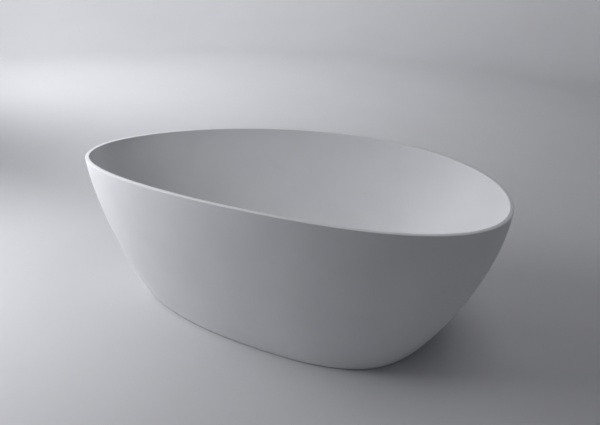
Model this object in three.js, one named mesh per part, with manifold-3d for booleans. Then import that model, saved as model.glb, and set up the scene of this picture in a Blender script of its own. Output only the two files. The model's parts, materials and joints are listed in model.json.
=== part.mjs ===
// Freestanding bathtub: a stone-resin basin bonded into an outer shell, on a steel cradle with levelling feet,
// with a push-to-open waste, a bottle trap and a slot overflow.
// Millimetres. +X along the length towards the wider end, +Z up, origin on the floor under the middle.
import * as THREE from 'three';
import { mergeVertices } from 'three/addons/utils/BufferGeometryUtils.js';
import Module from 'manifold-3d';

const wasm = await Module();
wasm.setup();

// Gap between neighbouring solids, and the finer one between a sliding piece and its guide.
const GAP = 0.3;
const RUNNING_GAP = 0.1;

// Tub outlines, seen from above: half length, half width, squareness of the oval, and how egg-shaped it is.
const RIM = { halfLength: 850, halfWidth: 440, squareness: 2.1, egg: 0.22 };
const FOOT = { halfLength: 605, halfWidth: 370, squareness: 2.4, egg: 0.32 };
const BASIN_FLOOR = { halfLength: 480, halfWidth: 215, squareness: 2.2, egg: 0.2 };

// Heights of the tub. The rim is highest halfway along the sides and drops towards both ends.
const RIM_HEIGHT = 620;
const RIM_DROP = 40;
const SKIRT_CLEARANCE = 3;
const BASIN_FLOOR_HEIGHT = 150;
const DRAIN_HEIGHT = 144;
const BASIN_UNDERSIDE = 132;

// Wall curves. The outer wall bulges more at the wide end.
const OUTER_CURVE = 1.63;
const OUTER_CURVE_CHANGE = 0.2;
const OUTER_SHARPNESS = 1.2;
const INNER_CURVE = 1.55;
const INNER_SHARPNESS = 1.6;

// Skins and rim.
const RIM_WIDTH = 16;
const RIM_ROUND = 3;
const RIM_DEPTH = 22;
const SKIN = 7.4;
const SKIRT_FLANGE = 22;
const SKIN_CORNERS = 60;

// Drain hole and the push-to-open waste on the vertical axis through the origin.
const DRAIN_RADIUS = 26;
const REBATE_RADIUS = 37.3;
const REBATE_DEPTH = 3.5;
const FLANGE_RADIUS = 36.5;
const FLANGE_HEIGHT = 2.6;
const TAIL_RADIUS = 25;
const TAIL_END = 98;
const THROAT_RADIUS = 22;
const BRIDGE = { bottom: 106, top: 111, hub: 11, spoke: 4 };
const TAIL_WINDOW = { width: 16, bottom: 99.5, top: 104.5 };
const CAP_RADIUS = 31;
const STEM_RADIUS = 5;
const SLEEVE_RADIUS = 7.6;
const BACKNUT = { acrossFlats: 66, height: 10 };
const ROUND = 24;
const PIPE_CORNERS = 16;

// Waste body and bottle trap under the basin.
const BODY = { radius: 32, chamber: 28.5, top: 117.7, dipRadius: 20, dipEnd: 20, wall: 2.5 };
const BRANCH = { height: 104, radius: 11, bore: 9, reach: 60 };
const TRAP = { radius: 46, wall: 3, bottom: 5, split: 24, top: 66, outletHeight: 45 };
const SLIP_NUT = { acrossFlats: 56, height: 10 };
const OUTLET = { radius: 16, wall: 2, bend: 26, start: 50, drop: 106 };

// Overflow: a slot in the near long wall, a flat channel between the skins, and a pipe to the waste body.
const SLOT_HEIGHT = 485;
const SLOT = { width: 56, height: 9 };
const TRIM = { width: 74, height: 20, thickness: 2.4, wall: 1.6 };
const POCKET_DEPTH = 1.4;
const CHANNEL = { width: 66, thickness: 8.4, wall: 1.2, top: 498, bottom: 300 };
const COUPLER = { width: 74, thickness: 26, height: 34, socket: 14, floor: 3, stub: 22 };
const FEED = { radius: 13.6, bore: 11.8, corners: 12, steps: 18 };
const CLIP = { radius: 16, gap: 0.9, width: 9 };

// Cradle and levelling feet.
const CROSSBAR_X = 300;
const CROSSBAR_LENGTH = 380;
const RAIL_Y = 150;
const RAIL_LENGTH = 800;
const RAIL_BOTTOM = 65;
const TUBE = 30;
const TUBE_WALL = 2;
const SUPPORT = { y: 110, radius: 22 };
const FOOT_X = 370;
const STUD = { radius: 6, bottom: 6, top: 124, collarBottom: 15.3, collarTop: 21, acrossFlats: 17 };
const PAD = { radius: 28, edge: 4, neck: 10.5, height: 15 };
const FOOT_NUT = { acrossFlats: 19, height: 9 };

const resin = new THREE.MeshStandardMaterial({ color: 0xb9bcc2, roughness: 0.55, metalness: 0 });
const chrome = new THREE.MeshStandardMaterial({ color: 0xd5d8db, roughness: 0.08, metalness: 1 });
const rubber = new THREE.MeshStandardMaterial({ color: 0x24262a, roughness: 0.85, metalness: 0 });
const plastic = new THREE.MeshStandardMaterial({ color: 0xe6e6e2, roughness: 0.45, metalness: 0 });
const darkPlastic = new THREE.MeshStandardMaterial({ color: 0x3a3d42, roughness: 0.55, metalness: 0 });
const steel = new THREE.MeshStandardMaterial({ color: 0xa9adb2, roughness: 0.4, metalness: 1 });
const brass = new THREE.MeshStandardMaterial({ color: 0xb9954f, roughness: 0.3, metalness: 1 });

// ---- Solids ----

function toManifold(geometry) {
  const bare = geometry.clone();
  bare.deleteAttribute('normal');
  bare.deleteAttribute('uv');
  const merged = mergeVertices(bare, 1e-4);
  const vertProperties = new Float32Array(merged.attributes.position.array);
  const triVerts = new Uint32Array(merged.index.array);
  return new wasm.Manifold(new wasm.Mesh({ numProp: 3, vertProperties, triVerts }));
}

function fromManifold(solid) {
  const { vertProperties, triVerts } = solid.getMesh();
  const geometry = new THREE.BufferGeometry();
  geometry.setAttribute('position', new THREE.BufferAttribute(new Float32Array(vertProperties), 3));
  geometry.setIndex(new THREE.BufferAttribute(new Uint32Array(triVerts), 1));
  return geometry;
}

const join = (...parts) => fromManifold(parts.map(toManifold).reduce((a, b) => a.add(b)));
const cut = (body, ...tools) => fromManifold(tools.map(toManifold).reduce((a, b) => a.subtract(b), toManifold(body)));

// A turned solid about the vertical axis; the profile lists [radius, height] and runs anticlockwise.
function turned(profile, segments = ROUND) {
  const points = profile.map(([radius, height]) => new THREE.Vector2(radius, height));
  return new THREE.LatheGeometry(points, segments).rotateX(Math.PI / 2);
}

// A turned ring with a plain rectangular section.
function ring(inner, outer, bottom, top, segments = ROUND) {
  return turned([[inner, bottom], [outer, bottom], [outer, top], [inner, top], [inner, bottom]], segments);
}

// A solid disc or rod.
function rod(radius, bottom, top, segments = ROUND) {
  return turned([[0, bottom], [radius, bottom], [radius, top], [0, top]], segments);
}

function polygon(sides, radius) {
  const shape = new THREE.Shape();
  for (let i = 0; i < sides; i += 1) {
    const angle = (i * 2 * Math.PI) / sides;
    const place = [radius * Math.cos(angle), radius * Math.sin(angle)];
    if (i === 0) shape.moveTo(...place);
    else shape.lineTo(...place);
  }
  shape.closePath();
  return shape;
}

// A hexagonal nut: width across flats, bore radius, height.
function nut(acrossFlats, bore, height) {
  const shape = polygon(6, acrossFlats / Math.sqrt(3));
  shape.holes.push(polygon(ROUND, bore));
  return new THREE.ExtrudeGeometry(shape, { depth: height, bevelEnabled: false });
}

function rectangle(width, height) {
  const shape = new THREE.Shape();
  shape.moveTo(-width / 2, -height / 2);
  shape.lineTo(width / 2, -height / 2);
  shape.lineTo(width / 2, height / 2);
  shape.lineTo(-width / 2, height / 2);
  shape.closePath();
  return shape;
}

// A square steel tube with open ends, running up +Z from the origin.
function squareTube(length) {
  const shape = rectangle(TUBE, TUBE);
  shape.holes.push(rectangle(TUBE - 2 * TUBE_WALL, TUBE - 2 * TUBE_WALL));
  return new THREE.ExtrudeGeometry(shape, { depth: length, bevelEnabled: false });
}

// A pipe along a path, from a section and the hole in it.
function pipe(section, hole, path, steps) {
  section.holes.push(hole);
  return new THREE.ExtrudeGeometry(section, { steps, bevelEnabled: false, extrudePath: path });
}

// ---- Tub surfaces ----

const signedPower = (value, power) => Math.sign(value) * Math.abs(value) ** power;

function outline({ halfLength, halfWidth, squareness, egg }, angle) {
  const along = signedPower(Math.cos(angle), 2 / squareness);
  const across = signedPower(Math.sin(angle), 2 / squareness);
  return new THREE.Vector2(halfLength * along, halfWidth * across * (1 + egg * along));
}

// The rim outline moved inwards by a distance, square to itself.
function rimInset(distance, angle) {
  const step = 1e-3;
  const ahead = outline(RIM, angle + step);
  const behind = outline(RIM, angle - step);
  const along = ahead.sub(behind).normalize();
  return outline(RIM, angle).add(new THREE.Vector2(-along.y, along.x).multiplyScalar(distance));
}

const rimHeight = (x) => RIM_HEIGHT - RIM_DROP * (x / RIM.halfLength) ** 2;

const rise = (share, curve, sharpness) => (1 - (1 - share) ** curve) ** (1 / sharpness);

// A point of the outer wall: share runs from 0 at the skirt's edge to 1 at the rim.
function outerWall(share, angle) {
  const curve = OUTER_CURVE + OUTER_CURVE_CHANGE * Math.cos(angle);
  const plan = outline(FOOT, angle).lerp(outline(RIM, angle), rise(share, curve, OUTER_SHARPNESS));
  const height = SKIRT_CLEARANCE + share * (rimHeight(plan.x) - SKIRT_CLEARANCE);
  return new THREE.Vector3(plan.x, plan.y, height);
}

// A point of the basin's bathing side: share runs from 0 at the edge of its floor to 1 at the rim.
function innerWall(share, angle) {
  const plan = outline(BASIN_FLOOR, angle).lerp(rimInset(RIM_WIDTH, angle), rise(share, INNER_CURVE, INNER_SHARPNESS));
  const height = BASIN_FLOOR_HEIGHT + share * (rimHeight(plan.x) - BASIN_FLOOR_HEIGHT);
  return new THREE.Vector3(plan.x, plan.y, height);
}

// The outward normal of a wall, and a point moved along it.
function wallNormal(wall, share, angle) {
  const step = 1e-3;
  const up = wall(Math.min(share + step, 1), angle).sub(wall(Math.max(share - step, 0), angle));
  const round = wall(share, angle + step).sub(wall(share, angle - step));
  return round.cross(up).normalize();
}

function offsetWall(wall, share, angle, distance) {
  return wall(share, angle).addScaledVector(wallNormal(wall, share, angle), distance);
}

function circle(radius, height, angle) {
  return new THREE.Vector3(radius * Math.cos(angle), radius * Math.sin(angle), height);
}

// The rim's own section: inset from the outer edge, and depth below the rim's top.
function rimPoint(inset, depth, angle) {
  const plan = rimInset(inset, angle);
  return new THREE.Vector3(plan.x, plan.y, rimHeight(plan.x) - depth);
}

// The share of a wall that lies a given depth below the rim.
const shareBelowRim = (depth, bottom) => 1 - depth / (RIM_HEIGHT - bottom);

// A closed skin of the tub. Each rule gives one ring's point at an angle; the rings follow the section round
// and the last one joins the first.
function skin(rules) {
  const profile = [...rules, rules[0]].map((rule, i) => new THREE.Vector2(1, i));
  const geometry = new THREE.LatheGeometry(profile, SKIN_CORNERS);
  const { position } = geometry.attributes;
  for (let i = 0; i < position.count; i += 1) {
    const corner = Math.floor(i / profile.length) % SKIN_CORNERS;
    const rule = rules[(i % profile.length) % rules.length];
    position.setXYZ(i, ...rule((corner * 2 * Math.PI) / SKIN_CORNERS));
  }
  return geometry;
}

// ---- Tub ----

function outerShell() {
  const top = shareBelowRim(RIM_DEPTH + GAP, SKIRT_CLEARANCE);
  const shares = [0, 0.04, 0.1, 0.18, 0.28, 0.4, 0.54, 0.7, 0.85, top];
  const outside = shares.map((share) => (angle) => outerWall(share, angle));
  const inside = shares.slice(1).reverse().map((share) => (angle) => offsetWall(outerWall, share, angle, -SKIN));
  inside[0] = (angle) => {
    const place = outerWall(top, angle);
    const step = rimInset(SKIN, angle).sub(outline(RIM, angle));
    return place.add(new THREE.Vector3(step.x, step.y, 0));
  };
  const flange = (angle) => {
    const place = outerWall(0, angle);
    const pull = 1 - SKIRT_FLANGE / Math.hypot(place.x, place.y);
    return new THREE.Vector3(place.x * pull, place.y * pull, place.z);
  };
  return skin([...outside, ...inside, flange]);
}

function basinSkin() {
  const shares = [0.012, 0.04, 0.09, 0.16, 0.26, 0.38, 0.52, 0.68, 0.84];
  const thicker = (share) => SKIN + (BASIN_FLOOR_HEIGHT - BASIN_UNDERSIDE - SKIN) * Math.max(0, 1 - share / 0.16);
  const rebate = DRAIN_HEIGHT - REBATE_DEPTH;
  const halfway = (angle) => {
    const plan = outline(BASIN_FLOOR, angle).lerp(new THREE.Vector2(), 0.5);
    return new THREE.Vector3(plan.x, plan.y, (BASIN_FLOOR_HEIGHT + DRAIN_HEIGHT) / 2);
  };
  const underside = (angle) => {
    const plan = outline(BASIN_FLOOR, angle);
    return new THREE.Vector3(plan.x, plan.y, BASIN_UNDERSIDE);
  };
  const lip = (angle) => {
    const place = outerWall(shareBelowRim(RIM_DEPTH, SKIRT_CLEARANCE), angle);
    const step = rimInset(SKIN + 2 * GAP, angle).sub(outline(RIM, angle));
    return place.add(new THREE.Vector3(step.x, step.y, 0));
  };
  const eased = RIM_ROUND * (1 - Math.SQRT1_2);
  return skin([
    (angle) => circle(DRAIN_RADIUS, rebate, angle),
    (angle) => circle(DRAIN_RADIUS, BASIN_UNDERSIDE, angle),
    underside,
    ...shares.map((share) => (angle) => offsetWall(innerWall, share, angle, thicker(share))),
    lip,
    (angle) => outerWall(shareBelowRim(RIM_DEPTH, SKIRT_CLEARANCE), angle),
    (angle) => rimPoint(0, RIM_ROUND, angle),
    (angle) => rimPoint(eased, eased, angle),
    (angle) => rimPoint(RIM_ROUND, 0, angle),
    (angle) => rimPoint(RIM_WIDTH - RIM_ROUND, 0, angle),
    (angle) => rimPoint(RIM_WIDTH - eased, eased, angle),
    (angle) => rimPoint(RIM_WIDTH, RIM_ROUND, angle),
    ...shares.slice().reverse().map((share) => (angle) => innerWall(share, angle)),
    (angle) => innerWall(0, angle),
    halfway,
    (angle) => circle(REBATE_RADIUS, DRAIN_HEIGHT, angle),
    (angle) => circle(REBATE_RADIUS, rebate, angle),
  ]);
}

// ---- Overflow ----

// The near wall faces -Y, where the skin's angle is three quarters of a turn.
const NEAR = 1.5 * Math.PI;
const innerShareAt = (height) => (height - BASIN_FLOOR_HEIGHT) / (RIM_HEIGHT - BASIN_FLOOR_HEIGHT);
const outerShareAt = (height) => (height - SKIRT_CLEARANCE) / (RIM_HEIGHT - SKIRT_CLEARANCE);
const slotPlace = innerWall(innerShareAt(SLOT_HEIGHT), NEAR);
const slotNormal = wallNormal(innerWall, innerShareAt(SLOT_HEIGHT), NEAR);
const slotTurn = Math.atan2(slotNormal.x, -slotNormal.y);
const slotLean = Math.asin(-slotNormal.z);

// Turns a piece made facing -Y to face along the wall there, and moves it to the slot.
function toSlot(geometry) {
  return geometry.rotateZ(slotTurn).translate(slotPlace.x, slotPlace.y, slotPlace.z);
}

// A block on the wall between two depths: negative depths stand in the basin.
function wallBlock(width, height, from, to, shift = 0) {
  const block = new THREE.BoxGeometry(width, to - from, height);
  return toSlot(block.translate(shift, -(from + to) / 2, 0).rotateX(slotLean));
}

function overflowGasket() {
  const sheet = wallBlock(TRIM.width - 4, TRIM.height - 4, POCKET_DEPTH - 1, POCKET_DEPTH - GAP);
  return cut(sheet, wallBlock(SLOT.width, SLOT.height, -8, 8));
}

function overflowTrim() {
  const back = POCKET_DEPTH - 1 - GAP;
  const front = back - TRIM.thickness;
  const plate = wallBlock(TRIM.width, TRIM.height, front, back);
  const sleeve = wallBlock(SLOT.width - 2 * GAP, SLOT.height - 2 * GAP, back - 1, SKIN + 2);
  const opening = wallBlock(SLOT.width - 2 * TRIM.wall, SLOT.height - 2 * TRIM.wall, -8, 20);
  const bars = [-1, 0, 1].map((place) => {
    const shift = (place * SLOT.width) / 4;
    return wallBlock(2, SLOT.height - TRIM.wall, front + 0.6, back, shift);
  });
  return join(cut(join(plate, sleeve), opening), ...bars);
}

// The channel runs midway between the two skins. Its path is worked out facing -Y and then turned with the slot.
function channelPath(bottom, top) {
  const points = [];
  const stretches = 6;
  for (let i = 0; i <= stretches; i += 1) {
    const height = bottom + ((top - bottom) * i) / stretches;
    const inside = offsetWall(innerWall, innerShareAt(height), NEAR, SKIN);
    const outside = offsetWall(outerWall, outerShareAt(height), NEAR, -SKIN);
    const middle = inside.lerp(outside, 0.5).sub(slotPlace).applyAxisAngle(new THREE.Vector3(0, 0, 1), -slotTurn);
    points.push(middle.setX(0));
  }
  return new THREE.CatmullRomCurve3(points);
}

function duct(width, thickness, path) {
  return new THREE.ExtrudeGeometry(rectangle(width, thickness), { steps: 8, bevelEnabled: false, extrudePath: path });
}

const channelLine = channelPath(CHANNEL.bottom, CHANNEL.top);

function overflowChannel() {
  const { width, thickness, wall, bottom, top } = CHANNEL;
  const outside = toSlot(duct(width, thickness, channelLine));
  const inside = toSlot(duct(width - 2 * wall, thickness - 2 * wall, channelPath(bottom - 10, top - wall)));
  const mouth = wallBlock(SLOT.width + 2 * GAP, SLOT.height + 2 * GAP, 0, SKIN + 6);
  return cut(outside, inside, mouth);
}

// Pieces at the channel's lower end are made pointing down from the origin and laid along its last stretch.
const channelEnd = channelLine.getPointAt(0);
const endTangent = channelLine.getTangentAt(0);
const endLean = Math.atan2(-endTangent.y, endTangent.z);

function toChannelEnd(geometry) {
  return toSlot(geometry.rotateX(endLean).translate(0, channelEnd.y, channelEnd.z));
}

function overflowCoupler() {
  const { width, thickness, height, socket, floor, stub } = COUPLER;
  const top = socket - 1;
  const bottom = top - height;
  const body = new THREE.BoxGeometry(width, thickness, height).translate(0, 0, (top + bottom) / 2);
  const socketWidth = CHANNEL.width + 2 * GAP;
  const socketThickness = CHANNEL.thickness + 4 * GAP;
  const mouth = new THREE.BoxGeometry(socketWidth, socketThickness, socket + 1).translate(0, 0, socket / 2);
  const chamberHeight = -GAP - bottom - floor;
  const chamber = new THREE.BoxGeometry(width - 12, thickness - 5, chamberHeight);
  chamber.translate(0, 0, -GAP - chamberHeight / 2);
  const spout = rod(BRANCH.radius, bottom - stub, bottom + 1);
  const bore = rod(BRANCH.bore, bottom - stub - 1, bottom + floor + 1);
  return toChannelEnd(cut(join(body, spout), mouth, chamber, bore));
}

// The pipe slips over the coupler's spout and the waste body's branch.
function pipePath() {
  const spoutTop = COUPLER.socket - 1 - COUPLER.height - 1;
  const along = (distance) => {
    const marker = new THREE.BufferGeometry().setFromPoints([new THREE.Vector3(0, 0, distance)]);
    return new THREE.Vector3().fromBufferAttribute(toChannelEnd(marker).attributes.position, 0);
  };
  const branchFace = BODY.radius + 2;
  return new THREE.CatmullRomCurve3([
    along(spoutTop),
    along(spoutTop - 14),
    along(spoutTop - 28),
    new THREE.Vector3(2, -318, 168),
    new THREE.Vector3(1, -262, 126),
    new THREE.Vector3(0, -205, 112.5),
    new THREE.Vector3(0, -150, 111),
    new THREE.Vector3(0, -100, 106),
    new THREE.Vector3(0, -BRANCH.reach - 8, BRANCH.height),
    new THREE.Vector3(0, -BRANCH.reach + 6, BRANCH.height),
    new THREE.Vector3(0, -branchFace, BRANCH.height),
  ]);
}

const pipeLine = pipePath();

function overflowPipe() {
  const { radius, bore, corners, steps } = FEED;
  return pipe(polygon(corners, radius), polygon(corners, bore), pipeLine, steps);
}

// A band clip round the pipe, near one of its ends.
function pipeClip(share) {
  const band = ring(FEED.radius + CLIP.gap, CLIP.radius, -CLIP.width / 2, CLIP.width / 2);
  const lug = new THREE.BoxGeometry(8, 7, CLIP.width - 1).translate(0, CLIP.radius + 2, 0);
  const clip = join(band, lug);
  const place = pipeLine.getPointAt(share);
  const turn = new THREE.Quaternion().setFromUnitVectors(new THREE.Vector3(0, 0, 1), pipeLine.getTangentAt(share));
  return clip.applyQuaternion(turn).translate(place.x, place.y, place.z);
}

function innerBasin() {
  const pocket = wallBlock(TRIM.width + 2 * GAP, TRIM.height + 2 * GAP, -8, POCKET_DEPTH);
  const slot = wallBlock(SLOT.width, SLOT.height, -8, 3 * SKIN);
  return cut(basinSkin(), pocket, slot);
}

// ---- Waste ----

const REBATE_FLOOR = DRAIN_HEIGHT - REBATE_DEPTH;
const FLANGE_BOTTOM = DRAIN_HEIGHT - 1.8;
const FLANGE_TOP = FLANGE_BOTTOM + FLANGE_HEIGHT;

const flangeGasket = () => ring(TAIL_RADIUS + 1.4, FLANGE_RADIUS - 1, REBATE_FLOOR + GAP, FLANGE_BOTTOM - GAP);

// The flange with its threaded tail, a bridge across the throat, and windows that let the overflow in.
function wasteFlange() {
  const shell = turned([
    [THROAT_RADIUS, TAIL_END],
    [TAIL_RADIUS, TAIL_END],
    [TAIL_RADIUS, FLANGE_BOTTOM],
    [FLANGE_RADIUS, FLANGE_BOTTOM],
    [FLANGE_RADIUS, FLANGE_TOP - 1.4],
    [FLANGE_RADIUS - 1.6, FLANGE_TOP],
    [THROAT_RADIUS + 2, FLANGE_TOP],
    [THROAT_RADIUS, FLANGE_TOP - 2],
    [THROAT_RADIUS, TAIL_END],
  ]);
  const thickness = BRIDGE.top - BRIDGE.bottom;
  const middle = (BRIDGE.top + BRIDGE.bottom) / 2;
  const spokes = [0, Math.PI / 2].map((turn) => {
    const spoke = new THREE.BoxGeometry(2 * THROAT_RADIUS + 2, BRIDGE.spoke, thickness);
    return spoke.translate(0, 0, middle).rotateZ(turn);
  });
  const hub = rod(BRIDGE.hub, BRIDGE.bottom, BRIDGE.top);
  const bore = rod(SLEEVE_RADIUS + GAP, BRIDGE.bottom - 1, BRIDGE.top + 1);
  const windowHeight = TAIL_WINDOW.top - TAIL_WINDOW.bottom;
  const windows = [Math.PI / 4, (3 * Math.PI) / 4].map((turn) => {
    const window = new THREE.BoxGeometry(3 * TAIL_RADIUS, TAIL_WINDOW.width, windowHeight);
    return window.translate(0, 0, TAIL_WINDOW.bottom + windowHeight / 2).rotateZ(turn);
  });
  return cut(join(shell, ...spokes, hub), bore, ...windows);
}

const wasteWasher = () => ring(TAIL_RADIUS + GAP, FLANGE_RADIUS, BASIN_UNDERSIDE - 3.5, BASIN_UNDERSIDE - GAP);

function wasteBacknut() {
  const bottom = BASIN_UNDERSIDE - 3.5 - GAP - BACKNUT.height;
  return nut(BACKNUT.acrossFlats, TAIL_RADIUS + GAP, BACKNUT.height).translate(0, 0, bottom);
}

// The body under the basin: a chamber round the tail, a branch for the overflow, and the trap's dip tube.
function wasteBody() {
  const dipBore = BODY.dipRadius - BODY.wall;
  const shell = turned([
    [dipBore, BODY.dipEnd],
    [BODY.dipRadius, BODY.dipEnd],
    [BODY.dipRadius, 79],
    [BODY.radius, 87],
    [BODY.radius, BODY.top],
    [TAIL_RADIUS + GAP, BODY.top],
    [TAIL_RADIUS + GAP, BODY.top - 4],
    [BODY.chamber, BODY.top - 5],
    [BODY.chamber, 95],
    [dipBore, 84],
    [dipBore, BODY.dipEnd],
  ]);
  const sideways = (solid) => solid.rotateX(Math.PI / 2).translate(0, 0, BRANCH.height);
  const branch = sideways(rod(BRANCH.radius, BODY.radius - 1.5, BRANCH.reach));
  const bore = sideways(rod(BRANCH.bore, BODY.chamber - 4, BRANCH.reach + 1));
  return cut(join(shell, branch), bore);
}

function sleeve() {
  return turned([
    [STEM_RADIUS + RUNNING_GAP, 96],
    [SLEEVE_RADIUS, 96],
    [SLEEVE_RADIUS, BRIDGE.top + GAP],
    [BRIDGE.hub - 0.5, BRIDGE.top + GAP],
    [BRIDGE.hub - 0.5, BRIDGE.top + 5],
    [SLEEVE_RADIUS, BRIDGE.top + 5],
    [SLEEVE_RADIUS, 133],
    [STEM_RADIUS + RUNNING_GAP, 133],
    [STEM_RADIUS + RUNNING_GAP, 96],
  ]);
}

const sleeveNut = () => nut(19, SLEEVE_RADIUS + GAP, 5).translate(0, 0, BRIDGE.bottom - GAP - 5);

// The plug is closed at rest, with its seal in the flange's throat.
const BOSS_RADIUS = 9;
const BOSS_BOTTOM = 138;
const CAP_UNDERSIDE = FLANGE_TOP + GAP;

function plugCap() {
  return turned([
    [0, BOSS_BOTTOM],
    [BOSS_RADIUS, BOSS_BOTTOM],
    [BOSS_RADIUS, CAP_UNDERSIDE],
    [CAP_RADIUS - 1, CAP_UNDERSIDE],
    [CAP_RADIUS, CAP_UNDERSIDE + 0.8],
    [CAP_RADIUS, CAP_UNDERSIDE + 1.8],
    [CAP_RADIUS - 3, CAP_UNDERSIDE + 3.4],
    [CAP_RADIUS / 2, CAP_UNDERSIDE + 4.8],
    [0, CAP_UNDERSIDE + 5.4],
  ]);
}

const plugSeal = () => ring(BOSS_RADIUS + GAP, THROAT_RADIUS - 0.4, BOSS_BOTTOM + 1, CAP_UNDERSIDE - 1.2);
const plugStem = () => rod(STEM_RADIUS, 92, BOSS_BOTTOM - GAP);

// ---- Trap ----

function trapHead() {
  const { radius, wall, split, top, outletHeight } = TRAP;
  const shell = turned([
    [radius - wall, split],
    [radius, split],
    [radius, top - 2],
    [radius - 2, top],
    [BODY.dipRadius + GAP, top],
    [BODY.dipRadius + GAP, top - wall],
    [radius - wall, top - wall],
    [radius - wall, split],
  ]);
  const sideways = (solid) => solid.rotateY(Math.PI / 2).translate(0, 0, outletHeight);
  const socket = sideways(rod(OUTLET.radius + GAP + 3, radius - 3, radius + 22));
  const bore = sideways(rod(OUTLET.radius + GAP, radius + 4, radius + 23));
  const port = sideways(rod(OUTLET.radius - OUTLET.wall, radius - 8, radius + 5));
  return cut(join(shell, socket), bore, port);
}

function trapCup() {
  const { radius, wall, bottom, split } = TRAP;
  return turned([
    [0, bottom],
    [radius - 4, bottom],
    [radius, bottom + 4],
    [radius, split - GAP],
    [radius - wall, split - GAP],
    [radius - wall, bottom + wall + 2],
    [radius - wall - 2, bottom + wall],
    [0, bottom + wall],
  ]);
}

const trapNut = () => nut(SLIP_NUT.acrossFlats, BODY.dipRadius + GAP, SLIP_NUT.height).translate(0, 0, TRAP.top + GAP);

// The outlet leaves the trap level and turns down to the floor connection.
function outletPipe() {
  const start = new THREE.Vector3(OUTLET.start + 1, 0, TRAP.outletHeight);
  const corner = new THREE.Vector3(OUTLET.drop, 0, TRAP.outletHeight);
  const end = new THREE.Vector3(OUTLET.drop, 0, SKIRT_CLEARANCE);
  const path = new THREE.CurvePath();
  const bendStart = corner.clone().setX(OUTLET.drop - OUTLET.bend);
  const bendEnd = corner.clone().setZ(TRAP.outletHeight - OUTLET.bend);
  path.add(new THREE.LineCurve3(start, bendStart));
  path.add(new THREE.QuadraticBezierCurve3(bendStart, corner, bendEnd));
  path.add(new THREE.LineCurve3(bendEnd, end));
  const section = polygon(PIPE_CORNERS, OUTLET.radius);
  return pipe(section, polygon(PIPE_CORNERS, OUTLET.radius - OUTLET.wall), path, 9);
}

// ---- Cradle and feet ----

const RAIL_TOP = RAIL_BOTTOM + TUBE;
const CROSSBAR_TOP = RAIL_TOP + GAP + TUBE;

function rail(side) {
  const tube = squareTube(RAIL_LENGTH).rotateY(Math.PI / 2);
  tube.translate(-RAIL_LENGTH / 2, side * RAIL_Y, RAIL_BOTTOM + TUBE / 2);
  const holes = [-1, 1].map((end) => {
    const hole = rod(STUD.radius + GAP, RAIL_BOTTOM - 1, RAIL_TOP + 1, 16);
    return hole.translate(end * FOOT_X, side * RAIL_Y, 0);
  });
  return cut(tube, ...holes);
}

function crossbar(end) {
  const tube = squareTube(CROSSBAR_LENGTH).rotateX(-Math.PI / 2);
  return tube.translate(end * CROSSBAR_X, -CROSSBAR_LENGTH / 2, CROSSBAR_TOP - TUBE / 2);
}

const supportPad = () => rod(SUPPORT.radius, CROSSBAR_TOP + GAP, BASIN_UNDERSIDE - GAP, 20);

function footPad() {
  const { radius, edge, neck, height } = PAD;
  return turned([
    [0, 0],
    [radius, 0],
    [radius, edge],
    [radius - 5, edge + 4],
    [neck, height - 4],
    [neck, height],
    [STUD.radius + RUNNING_GAP, height],
    [STUD.radius + RUNNING_GAP, STUD.bottom - GAP],
    [0, STUD.bottom - GAP],
  ], 20);
}

function footStud() {
  const { radius, bottom, top, collarBottom, collarTop, acrossFlats } = STUD;
  const shape = polygon(6, acrossFlats / Math.sqrt(3));
  const collar = new THREE.ExtrudeGeometry(shape, { depth: collarTop - collarBottom, bevelEnabled: false });
  return join(rod(radius, bottom, top, 12), collar.translate(0, 0, collarBottom));
}

const footNut = (bottom) => nut(FOOT_NUT.acrossFlats, STUD.radius + 2 * RUNNING_GAP, FOOT_NUT.height)
  .translate(0, 0, bottom);

// ---- The object ----

const tub = new THREE.Group();

function add(name, geometry, material, x = 0, y = 0) {
  const mesh = new THREE.Mesh(geometry, material);
  mesh.name = name;
  mesh.position.set(x, y, 0);
  tub.add(mesh);
}

add('outer_shell', outerShell(), resin);
add('inner_basin', innerBasin(), resin);

add('overflow_trim', overflowTrim(), chrome);
add('overflow_gasket', overflowGasket(), rubber);
add('overflow_channel', overflowChannel(), plastic);
add('overflow_coupler', overflowCoupler(), plastic);
add('overflow_pipe', overflowPipe(), darkPlastic);
add('pipe_clip_upper', pipeClip(0.045), steel);
add('pipe_clip_lower', pipeClip(0.96), steel);

add('plug_cap', plugCap(), chrome);
add('plug_seal', plugSeal(), rubber);
add('plug_stem', plugStem(), brass);
add('plug_sleeve', sleeve(), brass);
add('sleeve_nut', sleeveNut(), brass);
add('waste_flange', wasteFlange(), chrome);
add('flange_gasket', flangeGasket(), rubber);
add('waste_washer', wasteWasher(), rubber);
add('waste_backnut', wasteBacknut(), brass);
add('waste_body', wasteBody(), plastic);

add('trap_nut', trapNut(), plastic);
add('trap_head', trapHead(), plastic);
add('trap_cup', trapCup(), plastic);
add('outlet_pipe', outletPipe(), plastic);

add('rail_near', rail(-1), steel);
add('rail_far', rail(1), steel);
add('crossbar_narrow', crossbar(-1), steel);
add('crossbar_wide', crossbar(1), steel);

// One foot and one support pad at each corner: near or far side, narrow or wide end.
for (const [sideName, side] of [['near', -1], ['far', 1]]) {
  for (const [endName, end] of [['narrow', -1], ['wide', 1]]) {
    const corner = `${sideName}_${endName}`;
    const x = end * FOOT_X;
    const y = side * RAIL_Y;
    add(`support_pad_${corner}`, supportPad(), rubber, end * CROSSBAR_X, side * SUPPORT.y);
    add(`foot_pad_${corner}`, footPad(), darkPlastic, x, y);
    add(`foot_stud_${corner}`, footStud(), steel, x, y);
    add(`foot_weldnut_${corner}`, footNut(RAIL_BOTTOM - GAP - FOOT_NUT.height), steel, x, y);
    add(`foot_locknut_${corner}`, footNut(RAIL_TOP + GAP), steel, x, y);
  }
}

export default tub;
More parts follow.
